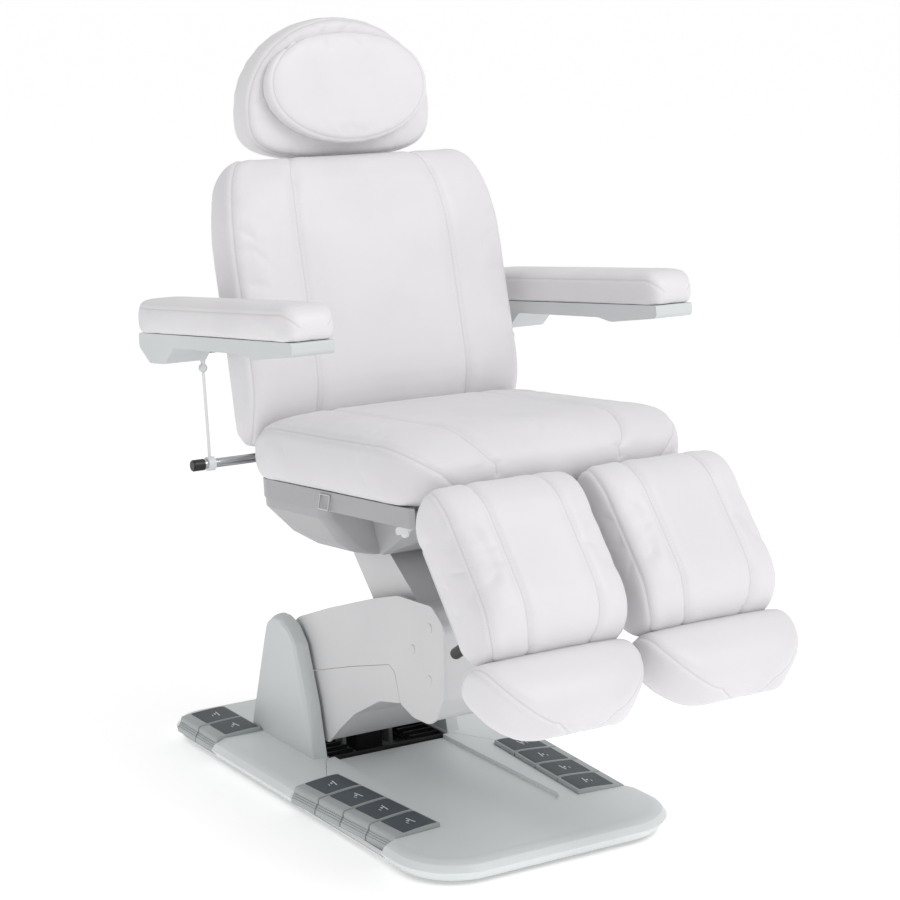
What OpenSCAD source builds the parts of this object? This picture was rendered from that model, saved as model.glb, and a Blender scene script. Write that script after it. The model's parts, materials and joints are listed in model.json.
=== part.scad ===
// Podiatry chair: a lifting arm on a pedal base carries a tilting seat with a
// reclining back, a headrest, two armrests and two separate leg rests with foot pads.
// Millimetres. +Z is up, the sitter faces -Y, and X = 0 is the plane of symmetry.
// The origin is the centre of the underside of the base.

/* [Base] */
// Length of the base, front to rear
base_len = 1042; // [950:2:1150]
// Width of the base at its widest line
base_w = 572; // [560:2:620]
// Height of the base covers above the floor
cover_h = 48; // [46:1:56]
// Wall of the moulded base covers
cover_wall = 4; // [3:0.5:5]
// Corner radius at the front of the base
front_corner_r = 120; // [80:5:150]
// Corner radius at the rear of the base
rear_corner_r = 80; // [50:5:100]
// Thickness of the steel base plate
plate_t = 10; // [8:1:12]
// Depth of the sunken foot panel
panel_drop = 8; // [5:1:12]

/* [Pedals] */
// Length of one pedal along the side of the base
pedal_len = 78; // [70:1:80]
// Gap between neighbouring pedals
pedal_gap = 4; // [2:0.5:6]
// Width of a pedal across the base
pedal_w = 104; // [90:1:110]
// Downward travel of a pedal
pedal_travel = 5; // [3:0.5:6]

/* [Lifting arm] */
// Distance between the two pivots of the upper link
link_len = 444; // [430:1:460]
// Angle of the links above the horizontal at rest
link_angle = 14.3; // [12:0.1:17]
// Height of the upper rear pivot
rear_pivot_z = 257; // [250:1:270]
// Distance of the upper rear pivot behind the centre of the base
rear_pivot_y = 200; // [190:1:210]
// Outer half width of the arm's side covers
arm_half_w = 132; // [130:1:136]
// Diameter of the upper link's pivot shafts
shaft_d = 26; // [24:1:30]

/* [Seat] */
// Width of the seat cushion
seat_w = 600; // [560:5:620]
// Length of the seat cushion
seat_len = 582; // [560:2:600]
// Thickness of the seat cushion
seat_t = 118; // [110:1:124]
// Upward tilt of the seat towards the front
seat_pitch = 5.1; // [4:0.1:6]
// Depth of the shell under the seat
shell_depth = 140; // [130:1:146]

/* [Back] */
// Width of the back cushion
back_w = 604; // [560:2:620]
// Length of the back cushion
back_len = 531; // [520:1:560]
// Thickness of the back cushion at its crown
back_t = 112; // [100:1:120]
// Lean of the back from the vertical
back_lean = 15; // [12:0.5:18]

/* [Headrest] */
// Width of the headrest
head_w = 404; // [380:2:420]
// Height of the headrest
head_h = 262; // [240:2:280]
// Thickness of the headrest cushion
head_t = 60; // [50:1:80]

/* [Armrests] */
// Distance of each armrest's centre line from the middle of the chair
arm_x = 385; // [380:1:400]
// Width of an armrest cushion
arm_w = 92; // [80:1:100]
// Length of an armrest cushion
arm_len = 606; // [580:2:640]
// Thickness of an armrest cushion
arm_t = 60; // [50:1:66]
// Length of the armrest's link rod between its pivots
arm_link_len = 181.2; // [175:0.2:190]

/* [Leg rests] */
// Width of one leg pad
leg_w = 280; // [260:2:284]
// Length of one leg pad
leg_len = 302; // [290:2:310]
// Thickness of a leg pad at its crown
leg_t = 130; // [115:1:132]
// Slope of the leg rests below the horizontal
leg_slope = 50; // [46:0.5:54]
// Length of a foot pad
foot_len = 150; // [140:1:160]
// Thickness of a foot pad
foot_t = 98; // [88:1:104]
// Pull-out travel of the foot pads
foot_travel = 120; // [100:5:130]

/* [Hidden] */

// One overrun serves every cut, one clearance every turning fit.
over = 1;
fit = 0.05;
soft_gap = 0.4;
// The sitter's right is at -X and the sitter's left at +X.
left = 1;
right = -1;

// Colours
white_cover = "#e9e9ea";
grey_cover = "#cfd4d3";
leather = "#f4f2f2";
steel = "#8d9092";
bright = "#c9cccf";
black = "#1c1d1f";
inlay = "#56606b";

// Point lists of a side view are [y, z] pairs.
function lerp(a, b, t) = a + (b - a) * t;
function unit(v) = v / norm(v);
// Direction square to v, turned a quarter turn to the left.
function left_of(v) = [-v[1], v[0]];
function turned(p, a) = [p[0] * cos(a) - p[1] * sin(a), p[0] * sin(a) + p[1] * cos(a)];

// Rounds corner b of the path a, b, c with radius r, in n steps.
function corner(a, b, c, r, n) =
    let (u = unit(a - b), v = unit(c - b), half = acos(u * v) / 2, reach = r / tan(half),
         mid = b + unit(u + v) * r / sin(half), p = b + u * reach, q = b + v * reach)
    [for (i = [0:n]) let (t = i / n, w = unit(lerp(p, q, t) - mid)) mid + w * r];
function rounded(pts, radii, n = 6) = [
    for (i = [0:len(pts) - 1])
        let (k = len(pts), a = pts[(i + k - 1) % k], b = pts[i], c = pts[(i + 1) % k])
        each (radii[i] == 0 ? [b] : corner(a, b, c, radii[i], n))
];

// A sheet of thickness t along an open path, on the left of its direction.
function path_normal(p, i) =
    let (a = i == 0 ? p[1] - p[0] : p[i] - p[i - 1],
         b = i == len(p) - 1 ? p[i] - p[i - 1] : p[i + 1] - p[i],
         m = unit(unit(left_of(a)) + unit(left_of(b))))
    m / (m * unit(left_of(a)));
function band(p, t) = concat(
    p, [for (i = [len(p) - 1:-1:0]) p[i] + path_normal(p, i) * t]);

// Extrudes a side view from x0 to x1.
module plate(pts, x0, x1)
    translate([x0, 0, 0]) rotate([90, 0, 90]) linear_extrude(x1 - x0) polygon(pts);
module both_sides() {
    children();
    mirror([1, 0, 0]) children();
}
// A cylinder across the chair, centred on the side view point p.
module across(p, d, x0, x1, facets = 40)
    translate([x0, p[0], p[1]]) rotate([0, 90, 0]) cylinder(d = d, h = x1 - x0, $fn = facets);
// A flat strap between two side view points, and a bar, which has round ends too.
module strap(p, q, w, x0, x1) {
    s = left_of(unit(q - p)) * w / 2;
    plate([p + s, p - s, q - s, q + s], x0, x1);
}
module bar(p, q, w, x0, x1) {
    strap(p, q, w, x0, x1);
    across(p, w, x0, x1);
    across(q, w, x0, x1);
}

// Skin over closed rings of equal length, closed at both ends by fans of triangles.
function mean(p) = [for (i = [0:2]) [for (v = p) v[i]] * [for (v = p) 1] / len(p)];
module skin(rings) {
    k = len(rings[0]);
    m = len(rings);
    pts = concat([for (r = rings) each r], [mean(rings[0]), mean(rings[m - 1])]);
    faces = concat(
        [for (j = [0:m - 2], i = [0:k - 1])
            let (a = j * k + i, b = j * k + (i + 1) % k, c = a + k, e = b + k)
            each (pts[a][0] + pts[b][0] > 0 ? [[a, e, b], [a, c, e]] : [[a, c, b], [b, c, e]])],
        [for (i = [0:k - 1]) [m * k, i, (i + 1) % k]],
        [for (i = [0:k - 1]) [m * k + 1, (m - 1) * k + (i + 1) % k, (m - 1) * k + i]]);
    polyhedron(pts, faces, convexity = 4);
}

// Largest shares of a pad's length that its two rounded ends may take.
near_share = 0.56;
far_share = 0.36;
// Height left at the very tip of a pad, so that its end ring keeps an area.
edge_h = 0.5;
// Pad or shell over a flat outline: each level is [height, how far the outline is drawn in].
module stack(outline, levels, c = [0, 0])
    skin([for (v = levels) [for (p = outline) let (q = p - c, w = c + q * (1 - v[1] / norm(q))) [w[0], w[1], v[0]]]]);

// Rise of an elliptical edge: 0 at the end, 1 at the distance r from it.
function bow(d, r) = d >= r ? 1 : sqrt(max(0, 1 - pow(1 - d / r, 2)));
// Section of a pad as shares of its half width and height, from the underside outwards.
// The fifth row is the sewn edge, a little inside the bulge of the side and of the crown.
pad_side_shares = [[0.955, 0], [0.985, 0.06], [0.998, 0.25], [1, 0.52], [0.994, 0.74],
                   [0.982, 0.81], [0.966, 0.85], [0.91, 0.915], [0.8, 0.962]];
// Depth of the dip across a sewn channel, from its edge to its middle and on.
function crown_z(x, w, lo, hi) = lo + (hi - lo) * (1 - 0.035 * pow(x / w, 2));
function channel_xs(c, g, w) = c == 0 ? [0.55 * w, 0.28 * w] : [c + 2.2 * g, c + g, c, c - g, c - 2.2 * g, c / 2];
function half_ring(w, lo, hi, c, dip) =
    let (g = 7 * w / 300 + 3)
    concat(
        [for (s = pad_side_shares) [s[0] * w, lerp(lo, hi, s[1])]],
        [for (x = channel_xs(c * w, g, w)) [x, crown_z(x, w, lo, hi) - dip * exp(-pow((x - c * w) / g, 2)) * (c == 0 ? 0 : 1)]]);
// Pad of width, length and thickness `size`, lying on z = 0 with its length along +Y.
// Each end is [height of the tip, rounding above, rounding below, tip width share,
// corner length]; channel is [place share, depth]; draw is how far the sides pull in.
module pad(size, near, far, channel = [0, 0], draw = 0.012, steps = 5, plain = 5) {
    w = size[0] / 2;
    l = size[1];
    t = size[2];
    near_reach = min(max(near[1], near[2], near[4]), near_share * l);
    far_reach = min(max(far[1], far[2], far[4]), far_share * l);
    ds = concat(
        [for (i = [0:steps]) near_reach * (1 - cos(90 * i / steps))],
        [for (i = [1:plain - 1]) lerp(near_reach, l - far_reach, i / plain)],
        [for (i = [steps:-1:0]) l - far_reach * (1 - cos(90 * i / steps))]);
    skin([
        for (d = ds)
            let (e = l - d,
                 hi_n = lerp(near[0], t, bow(d, near[1])), hi_f = lerp(far[0], t, bow(e, far[1])),
                 lo_n = lerp(near[0], 0, bow(d, near[2])), lo_f = lerp(far[0], 0, bow(e, far[2])),
                 width = w * lerp(near[3], 1, bow(d, near[4])) * lerp(far[3], 1, bow(e, far[4]))
                         * (1 - draw * sin(180 * d / l)),
                 hi = min(hi_n, hi_f) + edge_h, lo = max(lo_n, lo_f),
                 half = half_ring(width, lo, hi, channel[0], channel[1] * (hi - lo) / t))
            concat(
                [for (p = half) [p[0], d, p[1]]],
                [[0, d, crown_z(0, width, lo, hi)]],
                [for (i = [len(half) - 1:-1:0]) [-half[i][0], d, half[i][1]]])
    ]);
}

// Places in the side view, all worked out from the driving sizes.
link_dir = [-cos(link_angle), sin(link_angle)];
upper_rear = [rear_pivot_y, rear_pivot_z];
link_drop = [15, -80];
lower_rear = upper_rear + link_drop;
upper_front = upper_rear + link_dir * link_len;
lower_front = upper_front + link_drop;

// The tilt pivot on the neck, measured from the upper front pivot.
neck_rise = [235, 176];
tilt_pivot = upper_front + neck_rise;
// Rear lower edge of the seat cushion, measured from the tilt pivot.
seat_ref = tilt_pivot + [63, 90];
function seat_point(p) = seat_ref + turned(p, -seat_pitch);
// Hinge of the back, and lower rear edge of the back cushion.
back_hinge = seat_ref + [123, 48];
back_ref = back_hinge + [-53, -24];
function back_point(p) = back_ref + turned([-p[1], p[0]], -back_lean);
link_tube = back_hinge + [-31, -31];
arm_link_lean = 6.7;
arm_link = turned([0, arm_link_len], -arm_link_lean);
arm_pivot = back_hinge + arm_link;
arm_ball = link_tube + arm_link;
arm_pitch = 6.2;
leg_hinge = seat_ref + [-556, 51];
leg_ref = leg_hinge + [22, -12];
leg_gap = 40;
leg_x = leg_gap / 2 + leg_w / 2;
// Local y of the leg rest is up along the pad, local z out of its front.
function leg_point(p) = leg_ref + turned([-p[0], p[1]], leg_slope);

module seat_place() translate([0, seat_ref[0], seat_ref[1]]) rotate([-seat_pitch, 0, 0]) children();
module back_place() translate([0, back_ref[0], back_ref[1]]) rotate([90 - back_lean, 0, 0]) children();
module arm_place() translate([0, arm_pivot[0], arm_pivot[1]]) rotate([-arm_pitch, 0, 0]) children();
module leg_place() translate([0, leg_ref[0], leg_ref[1]]) rotate([leg_slope, 0, 0]) children();

// Base

cover_foot = 9;
foot_inset = 16;
widest_z = 28;
shoulder_z = 39;
shoulder_inset = 9;
top_inset = 30;
skin_line = 1;
module base_outline(inset, h) {
    hw = base_w / 2 - inset;
    hl = base_len / 2 - inset;
    fr = front_corner_r - inset;
    rr = rear_corner_r - inset;
    linear_extrude(h) polygon(rounded([[-hw, -hl], [hw, -hl], [hw, hl], [-hw, hl]], [fr, fr, rr, rr], 8));
}
// Solid form of both covers; wall draws it in for the hollow.
module base_form(wall) {
    hull() {
        translate([0, 0, wall == 0 ? cover_foot : cover_foot - 2 * over]) base_outline(foot_inset + wall, skin_line);
        translate([0, 0, widest_z]) base_outline(wall, skin_line);
        translate([0, 0, shoulder_z - wall / 2]) base_outline(shoulder_inset + wall, skin_line);
        translate([0, 0, cover_h - skin_line - wall]) base_outline(top_inset + wall, skin_line);
    }
}
well_half_w = 138;
well_front_y = 92;
well_rear_y = 330;
seam_y = -20;
seam_tongue_y = 88;
seam_tongue_half_w = 205;
seam_gap = 0.6;
panel_half_w = 126;
panel_front_y = -345;
panel_corner_r = 40;
// Plan of the front cover: straight at the sides, with a tongue between the tower feet.
module front_plan(grow) {
    edge = base_w;
    r = 60;
    polygon(rounded([
        [-edge, -base_len], [edge, -base_len], [edge, seam_y + grow],
        [seam_tongue_half_w + grow, seam_y + grow], [seam_tongue_half_w - r + grow, seam_tongue_y + grow],
        [r - seam_tongue_half_w - grow, seam_tongue_y + grow], [-seam_tongue_half_w - grow, seam_y + grow],
        [-edge, seam_y + grow]
    ], [0, 0, 0, 30, 30, 30, 30, 0]));
}
module panel_plan(grow) {
    w = panel_half_w + grow;
    polygon(rounded([
        [-w, well_front_y + over], [-w, panel_front_y - grow], [w, panel_front_y - grow], [w, well_front_y + over]
    ], [0, panel_corner_r + grow, panel_corner_r + grow, 0], 8));
}

// Pedals: rows of four at the front and two at the rear, on both sides.
pedal_pitch = pedal_len + pedal_gap;
pedal_row_w = 120;
pedal_in_x = base_w / 2 - pedal_row_w;
pedal_splay = 4.4;
front_row_y = -180;
rear_row_y = 384;
rear_row_w = 114;
rear_pedal_in_x = base_w / 2 - rear_row_w;
pedal_top = cover_h + 9;
pedal_bottom = 21;
pedal_clear = 0.8;
pedal_slope = 6;
pedal_step = 4;
pedal_wall = 4;
plunger_d = 14;
plunger_x = 46;
socket_d = 22;
socket_h = 12;
module pedal_row(side, front) {
    mirror([side < 0 ? 1 : 0, 0, 0])
        translate([front ? pedal_in_x : rear_pedal_in_x, front ? front_row_y : rear_row_y, 0])
            rotate([0, 0, front ? -pedal_splay : 0]) children();
}
// Well in the cover, open towards the side of the base.
module pedal_well(count) {
    length = count * pedal_pitch - pedal_gap + 2 * pedal_clear;
    translate([-pedal_clear, -length / 2, pedal_bottom - pedal_travel - pedal_clear])
        cube([base_w, length, base_w]);
}
module pedal(count, index) {
    offset_y = (index - (count - 1) / 2) * pedal_pitch;
    top_out = pedal_top - pedal_slope;
    mid = (pedal_top + pedal_bottom) / 2;
    profile = [
        [0, pedal_bottom + 6], [0, pedal_top - 2], [2, pedal_top], [pedal_w / 2, pedal_top - 1.5],
        [pedal_w - 12, top_out], [pedal_w - 6, top_out - 4], [pedal_w - 2, top_out - 12],
        [pedal_w - 2, mid], [pedal_w + pedal_step - 2, mid], [pedal_w + pedal_step - 2, mid - 8],
        [pedal_w + 2 * pedal_step - 2, mid - 8], [pedal_w + 2 * pedal_step - 2, pedal_bottom],
        [pedal_w - pedal_wall, pedal_bottom], [pedal_w - pedal_wall, mid - 2],
        [pedal_wall, pedal_top - 3 * pedal_wall], [pedal_wall, pedal_bottom + 6]
    ];
    color(grey_cover) {
        translate([0, offset_y + pedal_len / 2, 0]) rotate([90, 0, 0]) linear_extrude(pedal_len) polygon(profile);
        translate([plunger_x, offset_y, plate_t + pedal_travel + 2])
            cylinder(d = plunger_d, h = pedal_top - plate_t - pedal_travel - 8, $fn = 32);
    }
    color(inlay) translate([12, offset_y + pedal_len / 2 - 7, 0]) rotate([90, 0, 0])
        linear_extrude(pedal_len - 14)
            polygon([[0, pedal_top - 4], [0, pedal_top + 0.8], [pedal_w / 2 - 12, pedal_top - 0.6],
                     [pedal_w - 28, top_out + 1.4], [pedal_w - 28, top_out - 3]]);
}
module pedal_sockets(count) {
    for (i = [0:count - 1])
        translate([plunger_x, (i - (count - 1) / 2) * pedal_pitch, plate_t - over])
            difference() {
                cylinder(d = socket_d, h = socket_h + over, $fn = 32);
                translate([0, 0, 2 * over]) cylinder(d = plunger_d + 2 * fit, h = socket_h, $fn = 32);
            }
}

boss_d = 20;
boss_x = 145;
front_boss_ys = [-440, -40];
rear_boss_ys = [352, 460];
module cover_bosses(ys) {
    for (y = ys, s = [-1, 1])
        translate([s * boss_x, y, plate_t]) cylinder(d = boss_d, h = cover_h - plate_t - cover_wall / 2, $fn = 24);
}
cap_d = 17;
cap_h = 3;
module cover_hollow() {
    difference() {
        base_form(cover_wall);
        translate([0, 0, cover_h - panel_drop - cover_wall]) linear_extrude(cover_h) panel_plan(cover_wall);
    }
}
module front_base_cover() {
    color(grey_cover) difference() {
        union() {
            difference() {
                base_form(0);
                cover_hollow();
                translate([0, 0, cover_h - panel_drop]) linear_extrude(cover_h) panel_plan(0);
            }
            cover_bosses(front_boss_ys);
        }
        for (s = [left, right]) pedal_row(s, true) pedal_well(4);
        translate([0, 0, -over]) linear_extrude(2 * base_w) difference() {
            square(3 * base_len, center = true);
            front_plan(0);
        }
    }
}
module rear_base_cover() {
    color(grey_cover) difference() {
        union() {
            difference() {
                base_form(0);
                cover_hollow();
            }
            cover_bosses(rear_boss_ys);
        }
        for (s = [left, right]) pedal_row(s, false) pedal_well(2);
        translate([0, 0, -over]) linear_extrude(2 * base_w) front_plan(seam_gap);
        translate([-well_half_w, -over, -over]) cube([2 * well_half_w, well_rear_y + over, base_w]);
        both_sides() translate([tower_in_x + tower_wall, bracket_foot_y - 4, plate_t])
            cube([bracket_window_w, bracket_foot_len + 8, cover_h]);
    }
}
plate_inset = 44;
module base_plate() {
    color(steel) {
        difference() {
            base_outline(plate_inset, plate_t);
            for (s = [-1, 1], y = [-1, 1])
                translate([s * anchor_x, y * anchor_y, -over]) cylinder(d = anchor_d, h = plate_t + 2 * over, $fn = 32);
        }
        for (s = [left, right]) {
            pedal_row(s, true) pedal_sockets(4);
            pedal_row(s, false) pedal_sockets(2);
        }
    }
}
anchor_x = 90;
anchor_y = 440;
anchor_d = 11;

// Towers: covers at both sides of the well, and the steel bracket inside them.
tower_in_x = 140;
tower_wall = 3.5;
tower_top_x = 168;
tower_foot_x = 169.5;
tower_front = 108;
tower_rear = 150;
// Rolled outer edge of a tower: how far its outline draws in, and its distance from the inner face.
tower_rolls = [[0, 9], [2.5, 18], [7, 24.5], [14, tower_top_x - tower_in_x]];
// Side view of a tower, measured from the upper rear pivot and the top of the cover.
function tower_view(inset) =
    let (y = rear_pivot_y, z = rear_pivot_z)
    rounded([
        [y - tower_front + inset, cover_h], [y - 79 + inset, cover_h + 108], [y - 54 + inset, z - 39],
        [y - 36 + inset, z + 6], [y - 4 + inset / 2, z + 37 - inset / 2], [y + 30, z + 47 - inset],
        [y + 62, z + 46 - inset], [y + 94 - inset, z + 24 - inset / 2], [y + 104 - inset, z - 8],
        [y + tower_rear - inset, cover_h]
    ], [0, 80, 80, 40, 40, 30, 30, 24, 60, 0], 4);
module tower_covers() {
    color(grey_cover) both_sides() difference() {
        hull() {
            for (r = tower_rolls) plate(tower_view(r[0]), tower_in_x, tower_in_x + r[1]);
            translate([tower_in_x, rear_pivot_y - tower_front + 4, cover_h])
                cube([tower_foot_x - tower_in_x, tower_front + tower_rear - 8, over]);
        }
        hull() {
            for (r = tower_rolls)
                plate(tower_view(r[0] + tower_wall), tower_in_x + tower_wall, tower_in_x + r[1] - tower_wall);
            translate([tower_in_x + tower_wall, rear_pivot_y - tower_front + 8, cover_h - over])
                cube([tower_foot_x - tower_in_x - 2 * tower_wall, tower_front + tower_rear - 16, 2 * over]);
        }
        across(upper_rear, shaft_d + 6, tower_in_x - over, tower_in_x + tower_wall + over);
    }
}
bracket_x = 146;
bracket_t = 8;
bracket_foot_t = 8;
bracket_r = 20;
inner_bracket_x = 50;
link_pin_d = 22;
bracket_foot_y = 108;
bracket_foot_len = 204;
bracket_window_w = 16;
module bracket_view(p, r, y0, y1, x0, x1) {
    h = plate_t + bracket_foot_t;
    plate([[y0, h], [y1, h], [p[0] + r, p[1]], [p[0] - r, p[1]]], x0, x1);
    across(p, 2 * r, x0, x1);
}
module lift_bracket() {
    color(steel) {
        translate([-bracket_x - bracket_t, bracket_foot_y, plate_t])
            cube([2 * (bracket_x + bracket_t), bracket_foot_len, bracket_foot_t]);
        both_sides() {
            difference() {
                bracket_view(upper_rear, bracket_r, 120, 300, bracket_x, bracket_x + bracket_t);
                across(upper_rear, shaft_d + 2 * fit, bracket_x - over, bracket_x + bracket_t + over);
            }
            difference() {
                bracket_view(lower_rear, 26, 170, 260, inner_bracket_x, inner_bracket_x + bracket_t);
                across(lower_rear, link_pin_d + 2 * fit, inner_bracket_x - over, inner_bracket_x + bracket_t + over);
            }
        }
    }
}
grille_t = 4;
grille_h = 46;
grille_pitch = 24;
grille_slot_half_w = 66;
module arm_well_grille() {
    z0 = plate_t + bracket_foot_t;
    color(black) difference() {
        union() {
            for (s = [-1, 1]) translate([s * (well_half_w - 3) - (s > 0 ? grille_t : 0), well_front_y + 2, z0])
                cube([grille_t, well_rear_y - well_front_y - 6, grille_h - z0]);
            translate([-well_half_w + 3, well_front_y + 2, grille_h - 14])
                cube([2 * well_half_w - 6, well_rear_y - well_front_y - 6, grille_t]);
            for (y = [well_front_y + 2:grille_pitch:well_rear_y - 10])
                translate([-well_half_w + 3, y, grille_h - 14]) cube([2 * well_half_w - 6, grille_t, 14]);
        }
        translate([-grille_slot_half_w, 112, 0]) cube([2 * grille_slot_half_w, 170, base_w]);
        translate([-well_half_w - over, well_front_y - over, 0]) cube([2 * well_half_w + 2 * over, 20, z0 + 6]);
    }
}

// Lifting arm: two links, their covers and the spindle drive.
link_x = 112;
link_t = 10;
link_depth = 56;
lower_link_x = 70;
lower_link_depth = 38;
brace_share = 0.5;
module upper_link() {
    color(steel) {
        both_sides() bar(upper_rear, upper_front, link_depth, link_x, link_x + link_t);
        across(upper_rear, shaft_d, -bracket_x - bracket_t - 2, bracket_x + bracket_t + 2);
        across(upper_front, shaft_d, -link_x - over, link_x + over);
        across(lerp(upper_rear, upper_front, brace_share), shaft_d, -link_x - over, link_x + over);
    }
}
module lower_link() {
    color(steel) {
        both_sides() {
            bar(lower_rear, lower_front, lower_link_depth, lower_link_x, lower_link_x + link_t);
            across(lower_rear, link_pin_d, inner_bracket_x - 2, lower_link_x + over);
        }
        across(lower_front, link_pin_d, -neck_plate_x - neck_plate_t - 2, neck_plate_x + neck_plate_t + 2);
    }
}
arm_cover_t = 5;
arm_cover_gap = 0.6;
nose_front_y = -87;
// The arm's side view, measured from the upper front pivot.
nose_view = [[-87, 48], [-87, -91], [-55, -150], [15, -152], [60, -138]];
seam_view = [[100, -72], [248, -115], [388, -160]];
arm_top_view = [[-47, 75], [70, 68], [157, 42], [323, -16], [452, -66]];
arm_rear_view = [[474, -95], [458, -128]];
lower_view = [[135, -153], [230, -206], [284, -250], [330, -292], [372, -288]];
drawn_link_len = 444;
arm_draw_share = link_len / drawn_link_len;
function from_front(pts) = [for (p = pts) upper_front + p * arm_draw_share];
module arm_side_covers() {
    outline = rounded(from_front([
        nose_view[0], nose_view[1], nose_view[2], nose_view[3], nose_view[4], seam_view[0] + [-20, -10],
        seam_view[0], seam_view[1], seam_view[2], arm_rear_view[1], arm_rear_view[0],
        arm_top_view[4], arm_top_view[3], arm_top_view[2], arm_top_view[1], arm_top_view[0]
    ]), [26, 30, 45, 50, 12, 0, 0, 200, 0, 14, 25, 60, 400, 200, 60, 24], 5);
    color(white_cover) both_sides() {
        difference() {
            plate(outline, arm_half_w - arm_cover_t, arm_half_w);
            across(upper_rear, shaft_d + 1.2, arm_half_w - arm_cover_t - over, arm_half_w + over);
        }
        for (p = cover_screws)
            across(upper_front + p, cap_d + 8, link_x + link_t, arm_half_w - arm_cover_t + 1);
        for (p = screw_places)
            across(upper_front + p, cap_d, arm_half_w - over, arm_half_w + cap_h / 2);
    }
}
cover_screws = [[10, 0], [150, -38], [300, -77]];
screw_places = [[-41, 33], [17, -21], [-41, -65]];
// A tab that seats a cover on the outside of a link bar.
module link_tab(pts, x1) both_sides() plate(from_front(pts), link_x + link_t, x1);
module arm_lower_cover() {
    outline = rounded(from_front([
        seam_view[0] + [0, -arm_cover_gap], nose_view[4] + [21.5, 55.4], nose_view[4] + [arm_cover_gap, 1], lower_view[0],
        lower_view[1], lower_view[2], lower_view[3], lower_view[4], seam_view[2] + [0, -arm_cover_gap],
        seam_view[1] + [0, -arm_cover_gap]
    ]), [0, 0, 4, 60, 60, 40, 12, 12, 0, 200], 5);
    floor_path = rounded(from_front([lower_view[0] + [-58, 14], lower_view[0], lower_view[1], lower_view[2],
                                     lower_view[3] + [-4, 6]]), [0, 60, 60, 40, 0], 4);
    color(white_cover) {
        both_sides() plate(outline, arm_half_w - arm_cover_t, arm_half_w);
        plate(band(floor_path, 4), over - arm_half_w, arm_half_w - over);
        link_tab([[126, -50], [148, -54], [148, -100], [126, -96]], arm_half_w - arm_cover_t);
        link_tab([[296, -92], [320, -98], [320, -158], [296, -150]], arm_half_w - arm_cover_t);
    }
}
module arm_top_cover() {
    inside = arm_half_w - arm_cover_t - inner_gap;
    path = from_front([arm_top_view[4] + [-4, -4], arm_top_view[3] + [0, -3],
                       lerp(arm_top_view[3], arm_top_view[2], 0.22) + [0, -4]]);
    color(white_cover) {
        plate(band(path, 4), -inside, inside);
        link_tab([[330, -24], [360, -36], [360, -80], [330, -72]], inside);
    }
}
inner_gap = 0.3;
module arm_front_cover() {
    inside = arm_half_w - arm_cover_t - inner_gap;
    path = rounded(from_front([[-8, 72], nose_view[0] + [33, 24], nose_view[0] + [4, -8], nose_view[1] + [4, 0],
                               nose_view[2] + [2, 4], nose_view[3] + [0, 4], nose_view[4] + [-6, 2]]),
                   [0, 30, 30, 30, 40, 30, 0], 4);
    color(white_cover) {
        plate(band(path, 4), -inside, inside);
        link_tab([[-82, -26], [-15, -26], [-15, -4], [-82, -4]], inside);
    }
}
// Rotary drive on the upper rear shaft, standing on the bracket.
drive_d = 68;
drive_half_w = 34;
motor_d = 58;
motor_z = 82;
module lift_drive() {
    color(black) difference() {
        union() {
            across(upper_rear, drive_d, -drive_half_w, drive_half_w);
            plate([[rear_pivot_y - drive_d / 2, plate_t + bracket_foot_t], [rear_pivot_y + drive_d / 2, plate_t + bracket_foot_t],
                   upper_rear + [drive_d / 2, 0], upper_rear - [drive_d / 2, 0]], -drive_half_w + 4, drive_half_w - 4);
            translate([0, rear_pivot_y, motor_z]) rotate([-90, 0, 0]) cylinder(d = motor_d, h = 112, $fn = 40);
        }
        across(upper_rear, shaft_d + 2 * fit, -drive_half_w - over, drive_half_w + over);
    }
}

// Neck: steel knuckle on the front pivots and its cover, up to the tilt pivot.
neck_plate_x = 88;
neck_plate_t = 10;
neck_cover_x = 104;
neck_cover_t = 4;
tilt_pin_d = 24;
module neck_frame() {
    color(steel) {
        both_sides() difference() {
            union() {
                strap(upper_front, tilt_pivot, 34, neck_plate_x, neck_plate_x + neck_plate_t);
                across(upper_front, 56, neck_plate_x, neck_plate_x + neck_plate_t);
                across(tilt_pivot, 48, neck_plate_x, neck_plate_x + neck_plate_t);
                strap(upper_front, lower_front, 40, neck_plate_x, neck_plate_x + neck_plate_t);
                across(lower_front, 46, neck_plate_x, neck_plate_x + neck_plate_t);
            }
            across(upper_front, shaft_d + 2 * fit, neck_plate_x - over, neck_plate_x + neck_plate_t + over);
            across(lower_front, link_pin_d + 2 * fit, neck_plate_x - over, neck_plate_x + neck_plate_t + over);
        }
        across(tilt_pivot, tilt_pin_d, -120, 120);
        across(lerp(upper_front, tilt_pivot, 0.5), 30, -neck_plate_x - 1, neck_plate_x + 1);
    }
}
neck_rear_view = [[185, 18], [262, 96], [292, 132]];
neck_front_view = [[20, 46], [52, 72], [138, 133], [165, 152]];
module neck_cover() {
    outline = rounded(from_front([neck_rear_view[0], neck_rear_view[1], neck_rear_view[2], neck_front_view[3] + [40, 10],
                          neck_front_view[3], neck_front_view[2], neck_front_view[1], neck_front_view[0], [60, -6], [120, -22]]),
                      [10, 60, 6, 20, 10, 60, 30, 12, 20, 20], 4);
    x = neck_cover_x;
    color(white_cover) {
        both_sides() difference() {
            plate(outline, x, x + neck_cover_t);
            across(tilt_pivot, tilt_pin_d + 4, x - over, x + neck_cover_t + over);
        }
        plate(band(from_front([neck_front_view[3], neck_front_view[2], neck_front_view[1], neck_front_view[0]]), 4), -x - 1, x + 1);
        plate(band(from_front([neck_rear_view[0] + [0, 2], neck_rear_view[1], neck_rear_view[2]]), 4), -x - 1, x + 1);
        both_sides() across(upper_front + [112, 60], 18, neck_plate_x + neck_plate_t, x + 1);
    }
}

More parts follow.
